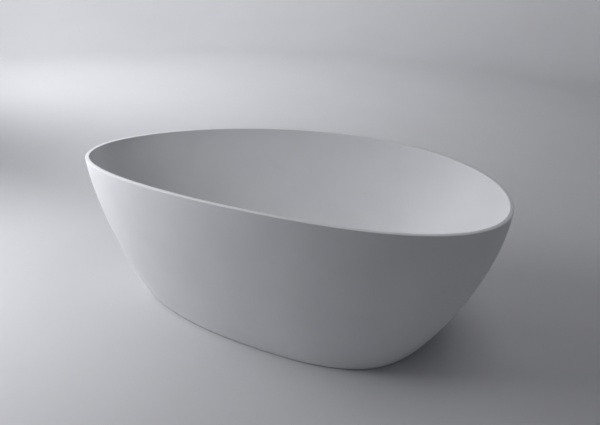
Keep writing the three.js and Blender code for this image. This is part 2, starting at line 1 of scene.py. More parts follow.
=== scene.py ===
# Looks of the freestanding bathtub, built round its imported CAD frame.
# +X runs along the tub towards its wider end, +Z is up, and the floor is at height 0.
# Shapes are written in millimetres and become metres in mesh_object(); the camera, stage and lights are in metres.
import json
import math
from collections import namedtuple

import bmesh
import bpy
import numpy as np
from mathutils import Matrix, Vector


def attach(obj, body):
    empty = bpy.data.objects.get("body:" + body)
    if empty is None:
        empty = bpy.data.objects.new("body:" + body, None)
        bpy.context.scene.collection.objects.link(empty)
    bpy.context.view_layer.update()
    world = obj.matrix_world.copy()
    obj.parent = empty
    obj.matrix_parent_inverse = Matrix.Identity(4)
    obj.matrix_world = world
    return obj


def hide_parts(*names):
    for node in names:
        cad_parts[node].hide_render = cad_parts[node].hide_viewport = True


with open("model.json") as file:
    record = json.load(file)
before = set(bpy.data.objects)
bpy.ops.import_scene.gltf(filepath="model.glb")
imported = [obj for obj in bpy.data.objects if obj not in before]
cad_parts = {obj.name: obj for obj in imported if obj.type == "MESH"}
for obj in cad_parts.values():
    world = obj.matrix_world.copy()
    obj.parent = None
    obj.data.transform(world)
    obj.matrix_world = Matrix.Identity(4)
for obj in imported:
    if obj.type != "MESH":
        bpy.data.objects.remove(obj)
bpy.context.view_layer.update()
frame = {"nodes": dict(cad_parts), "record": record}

MM = 0.001
GAP = 0.3
RUNNING_GAP = 0.1
WELD = 1e-7
TURN = 2 * math.pi
QUARTER = math.pi / 2
SHARP_ANGLE = math.radians(38)

BODY_OF = {node: body for body, nodes in frame["record"]["behaviour"]["bodies"].items() for node in nodes}
SLOT_OF = {part["node"]: part["material_slot"] for part in frame["record"]["subparts"]}


def linked(name, data):
    """A new object, in the scene."""
    made = bpy.data.objects.new(name, data)
    bpy.context.scene.collection.objects.link(made)
    return made


def spin(angle, axis="Z"):
    return Matrix.Rotation(angle, 4, axis)


# ---- Camera ----

# Solved on the tub's outline; the angles are in radians.
CAMERA_PLACE = (0.4728, -2.1445, 1.5211)
CAMERA_HEADING = 0.19478
CAMERA_DIP = 0.46629
CAMERA_TILT = 0.05125
SENSOR_WIDTH = 36.0
LENS = 36.43


def make_camera():
    data = bpy.data.cameras.new("camera")
    data.sensor_width = SENSOR_WIDTH
    data.lens = LENS
    camera = linked("camera", data)
    turned_to_view = spin(CAMERA_HEADING) @ spin(QUARTER - CAMERA_DIP, "X") @ spin(CAMERA_TILT)
    camera.matrix_world = Matrix.Translation(CAMERA_PLACE) @ turned_to_view
    bpy.context.scene.camera = camera


make_camera()

# ---- Materials ----


class Nodes:
    """A material's node tree, with short ways to add what the finishes below share."""

    def __init__(self, name):
        self.material = bpy.data.materials.new(name)
        self.material.use_nodes = True
        self.tree = self.material.node_tree
        self.shader = self.tree.nodes["Principled BSDF"]
        self.place = self.add("ShaderNodeTexCoord").outputs["Object"]

    def add(self, kind, **settings):
        node = self.tree.nodes.new(kind)
        for key, value in settings.items():
            setattr(node, key, value)
        return node

    def link(self, source, target):
        self.tree.links.new(source, target)

    def stretched(self, scale):
        mapping = self.add("ShaderNodeMapping")
        mapping.inputs["Scale"].default_value = scale
        self.link(self.place, mapping.inputs["Vector"])
        return mapping.outputs["Vector"]

    def noise(self, scale, detail=3.0, place=None):
        node = self.add("ShaderNodeTexNoise")
        node.inputs["Scale"].default_value = scale
        node.inputs["Detail"].default_value = detail
        self.link(place or self.place, node.inputs["Vector"])
        return node.outputs["Fac"]

    def ranged(self, source, low, high, start=0.3, end=0.7):
        node = self.add("ShaderNodeMapRange")
        self.link(source, node.inputs["Value"])
        for key, value in (("From Min", start), ("From Max", end), ("To Min", low), ("To Max", high)):
            node.inputs[key].default_value = value
        return node.outputs["Result"]

    def mixed(self, share, first, second):
        node = self.add("ShaderNodeMix", data_type="RGBA")
        self.link(share, node.inputs["Factor"])
        for socket, value in ((node.inputs[6], first), (node.inputs[7], second)):
            if isinstance(value, tuple):
                socket.default_value = (*value, 1.0)
            else:
                self.link(value, socket)
        return node.outputs[2]

    def bumped(self, *layers):
        """Each layer is (height, distance in metres, strength)."""
        normal = None
        for height, distance, strength in layers:
            node = self.add("ShaderNodeBump")
            node.inputs["Distance"].default_value = distance
            node.inputs["Strength"].default_value = strength
            self.link(height, node.inputs["Height"])
            if normal:
                self.link(normal, node.inputs["Normal"])
            normal = node.outputs["Normal"]
        self.link(normal, self.shader.inputs["Normal"])

    def worn_edges(self, start=0.52, end=0.6):
        """How far a spot lies on an outward edge, from 0 to 1, broken up by noise."""
        pointiness = self.add("ShaderNodeNewGeometry").outputs["Pointiness"]
        edge = self.ranged(pointiness, 0.0, 1.0, start, end)
        product = self.add("ShaderNodeMath", operation="MULTIPLY")
        self.link(edge, product.inputs[0])
        self.link(self.ranged(self.noise(90.0), 0.2, 1.0), product.inputs[1])
        return product.outputs["Value"]

    def base(self, source):
        self.link(source, self.shader.inputs["Base Color"])

    def rough(self, source):
        self.link(source, self.shader.inputs["Roughness"])


def stone_resin():
    """Matt mineral casting: faint clouds of filler, a sanded surface and a slow waviness."""
    m = Nodes("stone_resin")
    cloud = m.ranged(m.noise(7.0, 5.0), 0.0, 1.0)
    body = m.mixed(cloud, (0.735, 0.742, 0.757), (0.765, 0.771, 0.786))
    speck = m.ranged(m.noise(1400.0, 2.0), 0.0, 0.35, 0.62, 0.72)
    m.base(m.mixed(speck, body, (0.66, 0.667, 0.682)))
    m.rough(m.ranged(m.noise(160.0, 4.0), 0.46, 0.58))
    m.bumped((m.noise(2600.0, 2.0), 0.00003, 0.35), (m.noise(6.0, 1.0), 0.0006, 0.12))
    m.shader.inputs["Specular IOR Level"].default_value = 0.42
    return m.material


def polished_chrome():
    """Bright plating with faint smears and hairlines."""
    m = Nodes("polished_chrome")
    smear = m.noise(38.0, 4.0, m.stretched((1.0, 3.0, 1.0)))
    m.base(m.mixed(m.ranged(smear, 0.0, 1.0), (0.80, 0.81, 0.83), (0.86, 0.865, 0.875)))
    m.rough(m.ranged(smear, 0.05, 0.14, 0.35, 0.75))
    m.bumped((m.noise(1200.0, 2.0, m.stretched((1.0, 12.0, 1.0))), 0.00001, 0.25))
    m.shader.inputs["Metallic"].default_value = 1.0
    return m.material


def black_rubber():
    """Moulded rubber with a dusty bloom in its pores."""
    m = Nodes("black_rubber")
    bloom = m.ranged(m.noise(60.0, 5.0), 0.0, 1.0)
    m.base(m.mixed(bloom, (0.018, 0.018, 0.02), (0.045, 0.044, 0.043)))
    m.rough(m.ranged(m.noise(220.0), 0.68, 0.88))
    m.bumped((m.noise(900.0, 3.0), 0.0001, 0.5))
    return m.material


def moulded_plastic(name, light, dark, roughness, grain):
    """Injection-moulded plastic: a fine spark-eroded grain, faint flow marks, and rubbed edges."""
    m = Nodes(name)
    flow = m.ranged(m.noise(18.0, 3.0, m.stretched((1.0, 1.0, 4.0))), 0.0, 1.0)
    rubbed = tuple(min(1.0, channel * 1.12 + 0.01) for channel in light)
    m.base(m.mixed(m.worn_edges(), m.mixed(flow, dark, light), rubbed))
    m.rough(m.ranged(m.noise(420.0, 2.0), roughness - 0.07, roughness + 0.07))
    m.bumped((m.noise(grain, 2.0), 0.00006, 0.4))
    return m.material


def plated_steel():
    """Zinc-plated steel: brushed along Z, with spangle and brighter edges."""
    m = Nodes("plated_steel")
    spangle = m.ranged(m.noise(240.0, 2.0), 0.0, 1.0)
    tone = m.mixed(spangle, (0.50, 0.51, 0.52), (0.60, 0.605, 0.60))
    m.base(m.mixed(m.worn_edges(), tone, (0.72, 0.72, 0.72)))
    m.rough(m.ranged(m.noise(300.0, 3.0, m.stretched((4.0, 4.0, 0.4))), 0.24, 0.42))
    m.bumped((m.noise(1500.0, 2.0, m.stretched((1.0, 1.0, 0.15))), 0.00003, 0.4))
    m.shader.inputs["Metallic"].default_value = 1.0
    return m.material


def turned_brass():
    """Machined brass with fine lathe marks and brown tarnish in patches."""
    m = Nodes("turned_brass")
    tarnish = m.ranged(m.noise(70.0, 5.0), 0.0, 0.75, 0.42, 0.72)
    m.base(m.mixed(tarnish, (0.74, 0.56, 0.27), (0.42, 0.29, 0.13)))
    m.rough(m.ranged(m.noise(180.0, 4.0), 0.22, 0.42))
    m.bumped((m.noise(1100.0, 1.0, m.stretched((0.1, 0.1, 3.0))), 0.00003, 0.35))
    m.shader.inputs["Metallic"].default_value = 1.0
    return m.material


def powder_coat():
    """Grey powder-coated steel with orange peel, scuffs, and bare metal showing along worn edges."""
    m = Nodes("powder_coat")
    scuff = m.ranged(m.noise(45.0, 6.0, m.stretched((0.3, 1.0, 1.0))), 0.0, 0.6, 0.6, 0.72)
    coat = m.mixed(scuff, (0.17, 0.175, 0.185), (0.25, 0.255, 0.265))
    m.base(m.mixed(m.worn_edges(0.54, 0.64), coat, (0.42, 0.42, 0.42)))
    m.rough(m.ranged(m.noise(120.0, 3.0), 0.38, 0.52))
    m.bumped((m.noise(650.0, 2.0), 0.00012, 0.45))
    return m.material


FINISHES = {
    "resin": stone_resin(),
    "chrome": polished_chrome(),
    "rubber": black_rubber(),
    "white_plastic": moulded_plastic("white_plastic", (0.80, 0.80, 0.775), (0.74, 0.74, 0.71), 0.42, 1100.0),
    "dark_plastic": moulded_plastic("dark_plastic", (0.05, 0.052, 0.057), (0.036, 0.038, 0.042), 0.52, 800.0),
    "steel": plated_steel(),
    "brass": turned_brass(),
    "cradle_steel": powder_coat(),
}

# ---- Mesh helpers ----


def tidy(mesh):
    """Welds the mesh, turns its faces outwards and shades it smooth between its sharp edges."""
    shape = bmesh.new()
    shape.from_mesh(mesh)
    bmesh.ops.remove_doubles(shape, verts=shape.verts, dist=WELD)
    loose = [edge for edge in shape.edges if not edge.link_faces]
    bmesh.ops.delete(shape, geom=loose, context="EDGES")
    bmesh.ops.recalc_face_normals(shape, faces=shape.faces)
    shape.to_mesh(mesh)
    shape.free()
    mesh.shade_smooth()
    mesh.set_sharp_from_angle(angle=SHARP_ANGLE)


def mesh_object(name, points, faces):
    """A linked object from points in millimetres."""
    mesh = bpy.data.meshes.new(name)
    mesh.from_pydata((np.asarray(points, float) * MM).tolist(), [], faces)
    tidy(mesh)
    return linked(name, mesh)


def from_rings(name, rings, closed):
    """A skin over rings of points; closed joins the last ring to the first."""
    rings = np.asarray(rings)
    index = np.arange(rings.shape[0] * rings.shape[1]).reshape(rings.shape[:2])
    lower = index if closed else index[:-1]
    upper = np.roll(index, -1, 0) if closed else index[1:]
    quads = np.stack([lower, np.roll(lower, -1, 1), np.roll(upper, -1, 1), upper], -1)
    return mesh_object(name, rings.reshape(-1, 3), quads.reshape(-1, 4).tolist())


def applied(piece):
    """Bakes the piece's modifiers into its mesh."""
    bpy.context.view_layer.update()
    result = piece.evaluated_get(bpy.context.evaluated_depsgraph_get())
    mesh = bpy.data.meshes.new_from_object(result)
    piece.modifiers.clear()
    piece.data = mesh
    tidy(mesh)
    return piece


def combined(piece, operation, tools):
    for tool in tools:
        change = piece.modifiers.new("combine", "BOOLEAN")
        change.operation = operation
        change.solver = "EXACT"
        change.object = tool
        applied(piece)
        bpy.data.objects.remove(tool)
    return piece


def cut(piece, *tools):
    return combined(piece, "DIFFERENCE", tools)


def join(piece, *tools):
    return combined(piece, "UNION", tools)


def softened(piece, width, segments=3):
    """Rounds the piece's sharp edges by a width in millimetres."""
    bevel = piece.modifiers.new("soften", "BEVEL")
    bevel.limit_method = "ANGLE"
    bevel.angle_limit = SHARP_ANGLE
    bevel.width = width * MM
    bevel.segments = segments
    return applied(piece)


def placed(piece, matrix):
    """Moves the mesh itself; the matrix's translation is in metres."""
    piece.data.transform(matrix)
    return piece


def shift(x=0.0, y=0.0, z=0.0):
    return Matrix.Translation((x * MM, y * MM, z * MM))


def stand_for(piece, node):
    """The piece takes the CAD node's body, slot and finish, and the node's solid isn't shown."""
    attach(piece, BODY_OF[node])
    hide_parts(node)
    piece.data.materials.clear()
    piece.data.materials.append(FINISHES[SLOT_OF[node]])
    return piece


# ---- Outlines and sweeps ----


def angles_round(corners):
    return np.arange(corners) * TURN / corners


def circle(radius, corners=48):
    angle = angles_round(corners)
    return np.stack([radius * np.cos(angle), radius * np.sin(angle)], -1)


def rounded(width, height, radius, steps=5):
    """A rectangle with round corners, anticlockwise."""
    points = []
    for corner, (side_x, side_y) in enumerate([(1, 1), (-1, 1), (-1, -1), (1, -1)]):
        angle = (corner + np.linspace(0, 1, steps + 1)) * math.pi / 2
        centre = (side_x * (width / 2 - radius), side_y * (height / 2 - radius))
        points.append(np.stack([centre[0] + radius * np.cos(angle), centre[1] + radius * np.sin(angle)], -1))
    return np.concatenate(points)


def prism(name, loop, low, high):
    """A solid standing on a flat outline between two heights."""
    count = len(loop)
    points = np.concatenate([np.c_[loop, np.full(count, low)], np.c_[loop, np.full(count, high)]])
    sides = [[i, (i + 1) % count, count + (i + 1) % count, count + i] for i in range(count)]
    caps = [list(range(count))[::-1], list(range(count, 2 * count))]
    return mesh_object(name, points, sides + caps)


def swept(name, path, side, outer, inner):
    """A tube with open ends: two outlines carried along a path, with their first axis kept to a side."""
    path = np.asarray(path, float)
    along = np.gradient(path, axis=0)
    along /= np.linalg.norm(along, axis=1, keepdims=True)
    first = np.asarray(side, float) - along * (along @ np.asarray(side, float))[:, None]
    first /= np.linalg.norm(first, axis=1, keepdims=True)
    second = np.cross(along, first)
    outside = [p + np.outer(outer[:, 0], a) + np.outer(outer[:, 1], b) for p, a, b in zip(path, first, second)]
    inside = [p + np.outer(inner[:, 0], a) + np.outer(inner[:, 1], b) for p, a, b in zip(path, first, second)]
    return from_rings(name, outside + inside[::-1], closed=True)


def eased(profile, ease):
    """A turned profile with its corners rounded; corners on the axis stay."""
    loop = profile[0][0] > 0
    points = []
    for i, corner in enumerate(profile):
        corner = np.array(corner, float)
        if not loop and i in (0, len(profile) - 1):
            points.append(corner)
            continue
        before = np.array(profile[i - 1], float) - corner
        after = np.array(profile[(i + 1) % len(profile)], float) - corner
        reach = min(ease, 0.4 * np.linalg.norm(before), 0.4 * np.linalg.norm(after))
        start = corner + before * reach / np.linalg.norm(before)
        end = corner + after * reach / np.linalg.norm(after)
        for t in (0, 1 / 3, 2 / 3, 1):
            points.append((1 - t) ** 2 * start + 2 * t * (1 - t) * corner + t**2 * end)
    return points


Dress = namedtuple("Dress", "low high step rule")


def thread(radius, low, high, pitch, depth):
    """Cuts a thread into a turned surface of that radius between two heights."""

    def rule(r, z, angle):
        phase = (z / pitch - angle / TURN) % 1
        groove = np.clip(1.5 * np.abs(2 * phase - 1) - 0.25, 0, 1)
        fade = np.clip((z - low) / pitch, 0, 1) * np.clip((high - z) / pitch, 0, 1)
        return r - depth * groove * fade * (abs(r - radius) < 0.05)

    return Dress(low, high, pitch / 6, rule)


def flutes(radius, low, high, count, depth):
    """Presses grip flutes into a turned surface of that radius between two heights."""

    def rule(r, z, angle):
        wave = 0.5 - 0.5 * np.cos(count * angle)
        fade = np.clip((z - low) / 2, 0, 1) * np.clip((high - z) / 2, 0, 1)
        return r - depth * wave**2 * fade * (abs(r - radius) < 0.6)

    return Dress(low, high, 2.0, rule)


def turned(name, profile, ease=0.3, corners=96, dress=None):
    """A solid turned about Z from a profile of (radius, height), open on the axis or closed on itself."""
    points = eased(profile, ease)
    loop = profile[0][0] > 0
    if loop:
        points.append(points[0])
    rows = [points[0]]
    for start, end in zip(points, points[1:]):
        rise = abs(end[1] - start[1])
        if dress and rise > dress.step and start[0] > 0 and abs(start[0] - end[0]) < 0.01:
            count = math.ceil(rise / dress.step)
            rows += [start + (end - start) * i / count for i in range(1, count)]
        rows.append(end)
    if loop:
        rows.pop()
    angle = angles_round(corners)
    rings = []
    for radius, height in rows:
        spread = np.full(corners, radius)
        if dress and dress.low <= height <= dress.high and radius > 0:
            spread = dress.rule(radius, height, angle)
        rings.append(np.stack([spread * np.cos(angle), spread * np.sin(angle), np.full(corners, height)], -1))
    return from_rings(name, rings, closed=loop)


def ring(name, inner, outer, bottom, top, ease=0.3):
    return turned(name, [(inner, bottom), (outer, bottom), (outer, top), (inner, top)], ease)


def rod(name, radius, bottom, top, corners=64):
    return turned(name, [(0, bottom), (radius, bottom), (radius, top), (0, top)], 0, corners)


def hexagon(across_flats):
    return circle(across_flats / math.sqrt(3), 6)


def nut(name, across_flats, bore, bottom, height):
    """A hexagonal nut with turned chamfers on both faces and at its bore."""
    corner = across_flats / math.sqrt(3)
    flat = across_flats / 2
    drop = (corner - flat) * 0.55
    top = bottom + height
    lead = 0.5
    turning = turned(name, [
        (bore, bottom + lead), (bore + lead, bottom), (flat - 0.2, bottom),
        (corner + 0.2, bottom + drop), (corner + 0.2, top - drop), (flat - 0.2, top),
        (bore + lead, top), (bore, top - lead),
    ], 0.15)
    blank = prism("nut_blank", hexagon(across_flats), bottom - 1, top + 1)
    return softened(combined(turning, "INTERSECT", [blank]), 0.25, 2)


# ---- Tub surfaces ----

Oval = namedtuple("Oval", "half_length half_width squareness egg")
RIM = Oval(850, 440, 2.1, 0.22)
FOOT = Oval(605, 370, 2.4, 0.32)
BASIN_FLOOR = Oval(480, 215, 2.2, 0.20)

RIM_HEIGHT = 620
RIM_DROP = 40
SKIRT_CLEARANCE = 3
BASIN_FLOOR_HEIGHT = 150
DRAIN_HEIGHT = 144
BASIN_UNDERSIDE = 132
OUTER_CURVE = 1.63
OUTER_CURVE_CHANGE = 0.2
OUTER_SHARPNESS = 1.2
INNER_CURVE = 1.55
INNER_SHARPNESS = 1.6
RIM_WIDTH = 16
RIM_ROUND = 3
RIM_DEPTH = 22
SKIN = 7.4
SKIRT_FLANGE = 22
DRAIN_RADIUS = 26
REBATE_RADIUS = 37.3
REBATE_FLOOR = DRAIN_HEIGHT - 3.5

STEP = 1e-3
SKIN_CORNERS = 480
ROUND_TUB = angles_round(SKIN_CORNERS)


def signed_power(value, power):
    return np.sign(value) * np.abs(value) ** power


def outline(oval, angle):
    along = signed_power(np.cos(angle), 2 / oval.squareness)
    across = signed_power(np.sin(angle), 2 / oval.squareness)
    return np.stack([oval.half_length * along, oval.half_width * across * (1 + oval.egg * along)], -1)


def unit(vector):
    return vector / np.linalg.norm(vector, axis=-1, keepdims=True)


def rim_inset(distance, angle):
    along = unit(outline(RIM, angle + STEP) - outline(RIM, angle - STEP))
    return outline(RIM, angle) + distance * np.stack([-along[..., 1], along[..., 0]], -1)


def rim_height(x):
    return RIM_HEIGHT - RIM_DROP * (x / RIM.half_length) ** 2


def rise(share, curve, sharpness):
    return (1 - (1 - share) ** curve) ** (1 / sharpness)


def raised(plan, height):
    return np.concatenate([plan, np.broadcast_to(height, plan.shape[:-1])[..., None]], -1)


def between(low, high, share):
    return low + (high - low) * np.asarray(share)[..., None]


def outer_wall(share, angle):
    """The outside: share runs from 0 at the skirt's edge to 1 at the rim."""
    curve = OUTER_CURVE + OUTER_CURVE_CHANGE * np.cos(angle)
    plan = between(outline(FOOT, angle), outline(RIM, angle), rise(share, curve, OUTER_SHARPNESS))
    return raised(plan, SKIRT_CLEARANCE + share * (rim_height(plan[..., 0]) - SKIRT_CLEARANCE))


def inner_wall(share, angle):
    """The bathing side: share runs from 0 at the edge of the basin's floor to 1 at the rim."""
    climb = np.broadcast_to(rise(share, INNER_CURVE, INNER_SHARPNESS), np.shape(angle))
    plan = between(outline(BASIN_FLOOR, angle), rim_inset(RIM_WIDTH, angle), climb)
    return raised(plan, BASIN_FLOOR_HEIGHT + share * (rim_height(plan[..., 0]) - BASIN_FLOOR_HEIGHT))


def wall_normal(wall, share, angle):
    up = wall(min(share + STEP, 1), angle) - wall(max(share - STEP, 0), angle)
    across = wall(share, angle + STEP) - wall(share, angle - STEP)
    return unit(np.cross(across, up))


def offset_wall(wall, share, angle, distance):
    return wall(share, angle) + distance * wall_normal(wall, share, angle)


def level_ring(radius, height):
    return raised(circle(radius, SKIN_CORNERS), height)


def rim_ring(inset, depth):
    plan = rim_inset(inset, ROUND_TUB)
    return raised(plan, rim_height(plan[:, 0]) - depth)


def rim_edge(start, end):
    """Rings over a rim corner, as a quarter of a circle between two angles; the corner's centre lies inside."""
    centre = RIM_ROUND if start >= QUARTER else RIM_WIDTH - RIM_ROUND
    angles = np.linspace(start, end, 7)
    return [rim_ring(centre + RIM_ROUND * math.cos(a), RIM_ROUND - RIM_ROUND * math.sin(a)) for a in angles]


def eased_rings(first, corner, last, steps=5):
    """Rings that round a corner ring, from the first ring to the last."""
    return [(1 - t) ** 2 * first + 2 * t * (1 - t) * corner + t**2 * last for t in np.linspace(0, 1, steps)]


def wall_rings(wall, shares):
    return [wall(share, ROUND_TUB) for share in shares]


SEAM_SHARE = 1 - RIM_DEPTH / (RIM_HEIGHT - SKIRT_CLEARANCE)
EDGE_SHARE = 1 - RIM_ROUND / (RIM_HEIGHT - SKIRT_CLEARANCE)

FOOT_EASE = 1.2
FOOT_EASE_SHARE = 0.002
OUTSIDE_RINGS = 60
BACK_RINGS = 26
BATHING_RINGS = 76
# These powers crowd the rings towards the foot of a wall, where it curves most.
OUTSIDE_CROWDING = 1.4
BATHING_CROWDING = 1.7


def outer_shell():
    """The outer casting: its foot edge is eased and it ends where the basin's rim takes over."""
    foot = outer_wall(0, ROUND_TUB)
    pull = 1 / np.linalg.norm(foot[:, :2], axis=1)[:, None]
    inwards = np.c_[-foot[:, :2] * pull, np.zeros(len(foot))]
    flange = foot + SKIRT_FLANGE * inwards
    foot_edge = eased_rings(foot + FOOT_EASE * inwards, foot, outer_wall(FOOT_EASE_SHARE, ROUND_TUB))
    climb = np.linspace(0, 1, OUTSIDE_RINGS)[1:] ** OUTSIDE_CROWDING
    outside = wall_rings(outer_wall, FOOT_EASE_SHARE + (SEAM_SHARE - FOOT_EASE_SHARE) * climb)
    back_shares = np.linspace(SEAM_SHARE - 0.01, 0.03, BACK_RINGS)
    inside = [offset_wall(outer_wall, share, ROUND_TUB, -SKIN) for share in back_shares]
    seam = outside[-1]
    inner_seam = np.c_[seam[:, :2] + rim_inset(SKIN, ROUND_TUB) - outline(RIM, ROUND_TUB), seam[:, 2]]
    flange_top = flange + np.array([0, 0, SKIN * 0.8])
    piece = from_rings("outer_shell_casting", [*foot_edge, *outside, inner_seam, *inside, flange_top, flange], True)
    return stand_for(piece, "outer_shell")


# ---- Overflow ----

# The near wall faces -Y, where the skin's angle is three quarters of a turn.
NEAR = 1.5 * math.pi
SLOT_HEIGHT = 485
SLOT_WIDTH, SLOT_OPENING = 56, 9
TRIM_WIDTH, TRIM_HEIGHT, TRIM_THICKNESS = 74, 20, 2.4
POCKET_DEPTH = 1.4


def share_at(height, base):
    """How far up a wall a height is, for a wall that starts at the base height."""
    return (height - base) / (RIM_HEIGHT - base)


slot_place = inner_wall(share_at(SLOT_HEIGHT, BASIN_FLOOR_HEIGHT), np.array(NEAR))
slot_normal = wall_normal(inner_wall, share_at(SLOT_HEIGHT, BASIN_FLOOR_HEIGHT), np.array(NEAR))
slot_turn = math.atan2(slot_normal[0], -slot_normal[1])
slot_lean = math.asin(-slot_normal[2])
AT_SLOT = shift(*slot_place) @ spin(slot_turn)
# A plate drawn flat, with its depth upwards, stood up on the wall.
ON_WALL = AT_SLOT @ spin(slot_lean, "X") @ spin(QUARTER, "X")


def wall_plate(name, width, height, radius, low, high, across=0.0):
    """A rounded plate on the wall between two depths: negative depths stand in the basin."""
    loop = rounded(width, height, radius) + np.array([across, 0])
    return placed(prism(name, loop, low, high), ON_WALL)


def inner_basin():
    """The basin: drain bore, underside, back of the wall, rim over the shell, bathing side and floor."""
    extra = BASIN_FLOOR_HEIGHT - BASIN_UNDERSIDE - SKIN
    thick_share = 0.16
    back = [
        offset_wall(inner_wall, share, ROUND_TUB, SKIN + extra * max(0, 1 - share / thick_share))
        for share in np.linspace(0.012, 0.95, BACK_RINGS)
    ]
    seam = outer_wall(SEAM_SHARE, ROUND_TUB)
    lip = np.c_[seam[:, :2] + rim_inset(SKIN + 2 * GAP, ROUND_TUB) - outline(RIM, ROUND_TUB), seam[:, 2]]
    band = wall_rings(outer_wall, np.linspace(SEAM_SHARE, EDGE_SHARE, 7))
    over_outer_edge = rim_edge(math.pi, QUARTER)[1:]
    over_inner_edge = rim_edge(QUARTER - 1e-9, 0)
    below_edge = 1 - RIM_ROUND / (RIM_HEIGHT - BASIN_FLOOR_HEIGHT)
    bathing_side = wall_rings(inner_wall, below_edge * np.linspace(1, 0, BATHING_RINGS)[1:] ** BATHING_CROWDING)
    drain_edge = 0.9
    floor_edge = bathing_side[-1]
    floor_middle = level_ring(REBATE_RADIUS + drain_edge, DRAIN_HEIGHT)
    floor = [floor_edge + (floor_middle - floor_edge) * share for share in np.linspace(0, 1, 15)[1:]]
    rebate_top = level_ring(REBATE_RADIUS, DRAIN_HEIGHT)
    rebate_edge = eased_rings(floor_middle, rebate_top, level_ring(REBATE_RADIUS, DRAIN_HEIGHT - drain_edge))[1:]
    rebate = [level_ring(REBATE_RADIUS, REBATE_FLOOR), level_ring(DRAIN_RADIUS, REBATE_FLOOR)]
    underneath = [
        level_ring(DRAIN_RADIUS, BASIN_UNDERSIDE),
        raised(outline(BASIN_FLOOR, ROUND_TUB), BASIN_UNDERSIDE),
    ]
    piece = from_rings("inner_basin_casting", [
        *underneath, *back, lip, *band, *over_outer_edge, *over_inner_edge,
        *bathing_side, *floor, *rebate_edge, *rebate,
    ], True)
    pocket = wall_plate("pocket", TRIM_WIDTH + 2 * GAP, TRIM_HEIGHT + 2 * GAP, 5, -8, POCKET_DEPTH)
    slot = wall_plate("slot", SLOT_WIDTH, SLOT_OPENING, 3, -8, 3 * SKIN)
    return stand_for(cut(piece, pocket, slot), "inner_basin")


def overflow_trim():
    """A chrome plate with a sleeve into the slot and three bars across its mouth."""
    back = POCKET_DEPTH - 1 - GAP
    front = back - TRIM_THICKNESS
    wall = 1.6
    plate = wall_plate("overflow_trim_plate", TRIM_WIDTH, TRIM_HEIGHT, 4.7, front, back)
    sleeve = wall_plate("sleeve", SLOT_WIDTH - 2 * GAP, SLOT_OPENING - 2 * GAP, 2.7, back - 1, SKIN + 2)
    mouth = wall_plate("mouth", SLOT_WIDTH - 2 * wall, SLOT_OPENING - 2 * wall, 1.6, -8, 20)
    piece = softened(cut(join(plate, sleeve), mouth), 0.55)
    bars = [
        wall_plate("bar", 2, SLOT_OPENING - wall, 0.9, front + 0.6, back, place * SLOT_WIDTH / 4)
        for place in (-1, 0, 1)
    ]
    return stand_for(join(piece, *bars), "overflow_trim")


def rounded_copy(node, name, width):
    """A copy of a CAD node's solid with its flat faces made whole and its edges rounded."""
    mesh = frame["nodes"][node].data.copy()
    shape = bmesh.new()
    shape.from_mesh(mesh)
    bmesh.ops.remove_doubles(shape, verts=shape.verts, dist=WELD)
    bmesh.ops.dissolve_limit(shape, angle_limit=math.radians(0.5), verts=shape.verts, edges=shape.edges)
    shape.to_mesh(mesh)
    shape.free()
    return stand_for(softened(linked(name, mesh), width), node)


# The channel runs midway between the skins; its line is worked out in the slot's own frame.
CHANNEL_BOTTOM, CHANNEL_TOP = 300, 498
CHANNEL_WIDTH, CHANNEL_THICKNESS = 66, 8.4
COUPLER_WIDTH, COUPLER_THICKNESS, COUPLER_HEIGHT = 74, 26, 34
SOCKET_DEPTH, COUPLER_FLOOR, SPOUT_LENGTH = 14, 3, 22
SPOUT_RADIUS, SPOUT_BORE = 11, 9
PIPE_RADIUS, PIPE_BORE = 13.6, 11.8
CLIP_RADIUS, CLIP_GAP, CLIP_WIDTH, CLIP_SLOTS = 16, 0.9, 9, 16
BODY_RADIUS, BRANCH_REACH, BRANCH_HEIGHT = 32, 60, 104


def channel_point(height):
    angle = np.array(NEAR)
    inside = offset_wall(inner_wall, share_at(height, BASIN_FLOOR_HEIGHT), angle, SKIN)
    outside = offset_wall(outer_wall, share_at(height, SKIRT_CLEARANCE), angle, -SKIN)
    middle = (inside + outside) / 2 - slot_place
    turned_back = Matrix.Rotation(-slot_turn, 3, "Z") @ Vector(middle)
    return np.array([0.0, turned_back.y, turned_back.z])


channel_stretch = (CHANNEL_TOP - CHANNEL_BOTTOM) / 6
channel_end = channel_point(CHANNEL_BOTTOM)
channel_tangent = channel_point(CHANNEL_BOTTOM + channel_stretch / 6) - channel_end
end_lean = math.atan2(-channel_tangent[1], channel_tangent[2])
# Pieces at the channel's lower end are drawn pointing down from the origin and laid along its last stretch.
AT_CHANNEL_END = AT_SLOT @ shift(0, channel_end[1], channel_end[2]) @ spin(end_lean, "X")


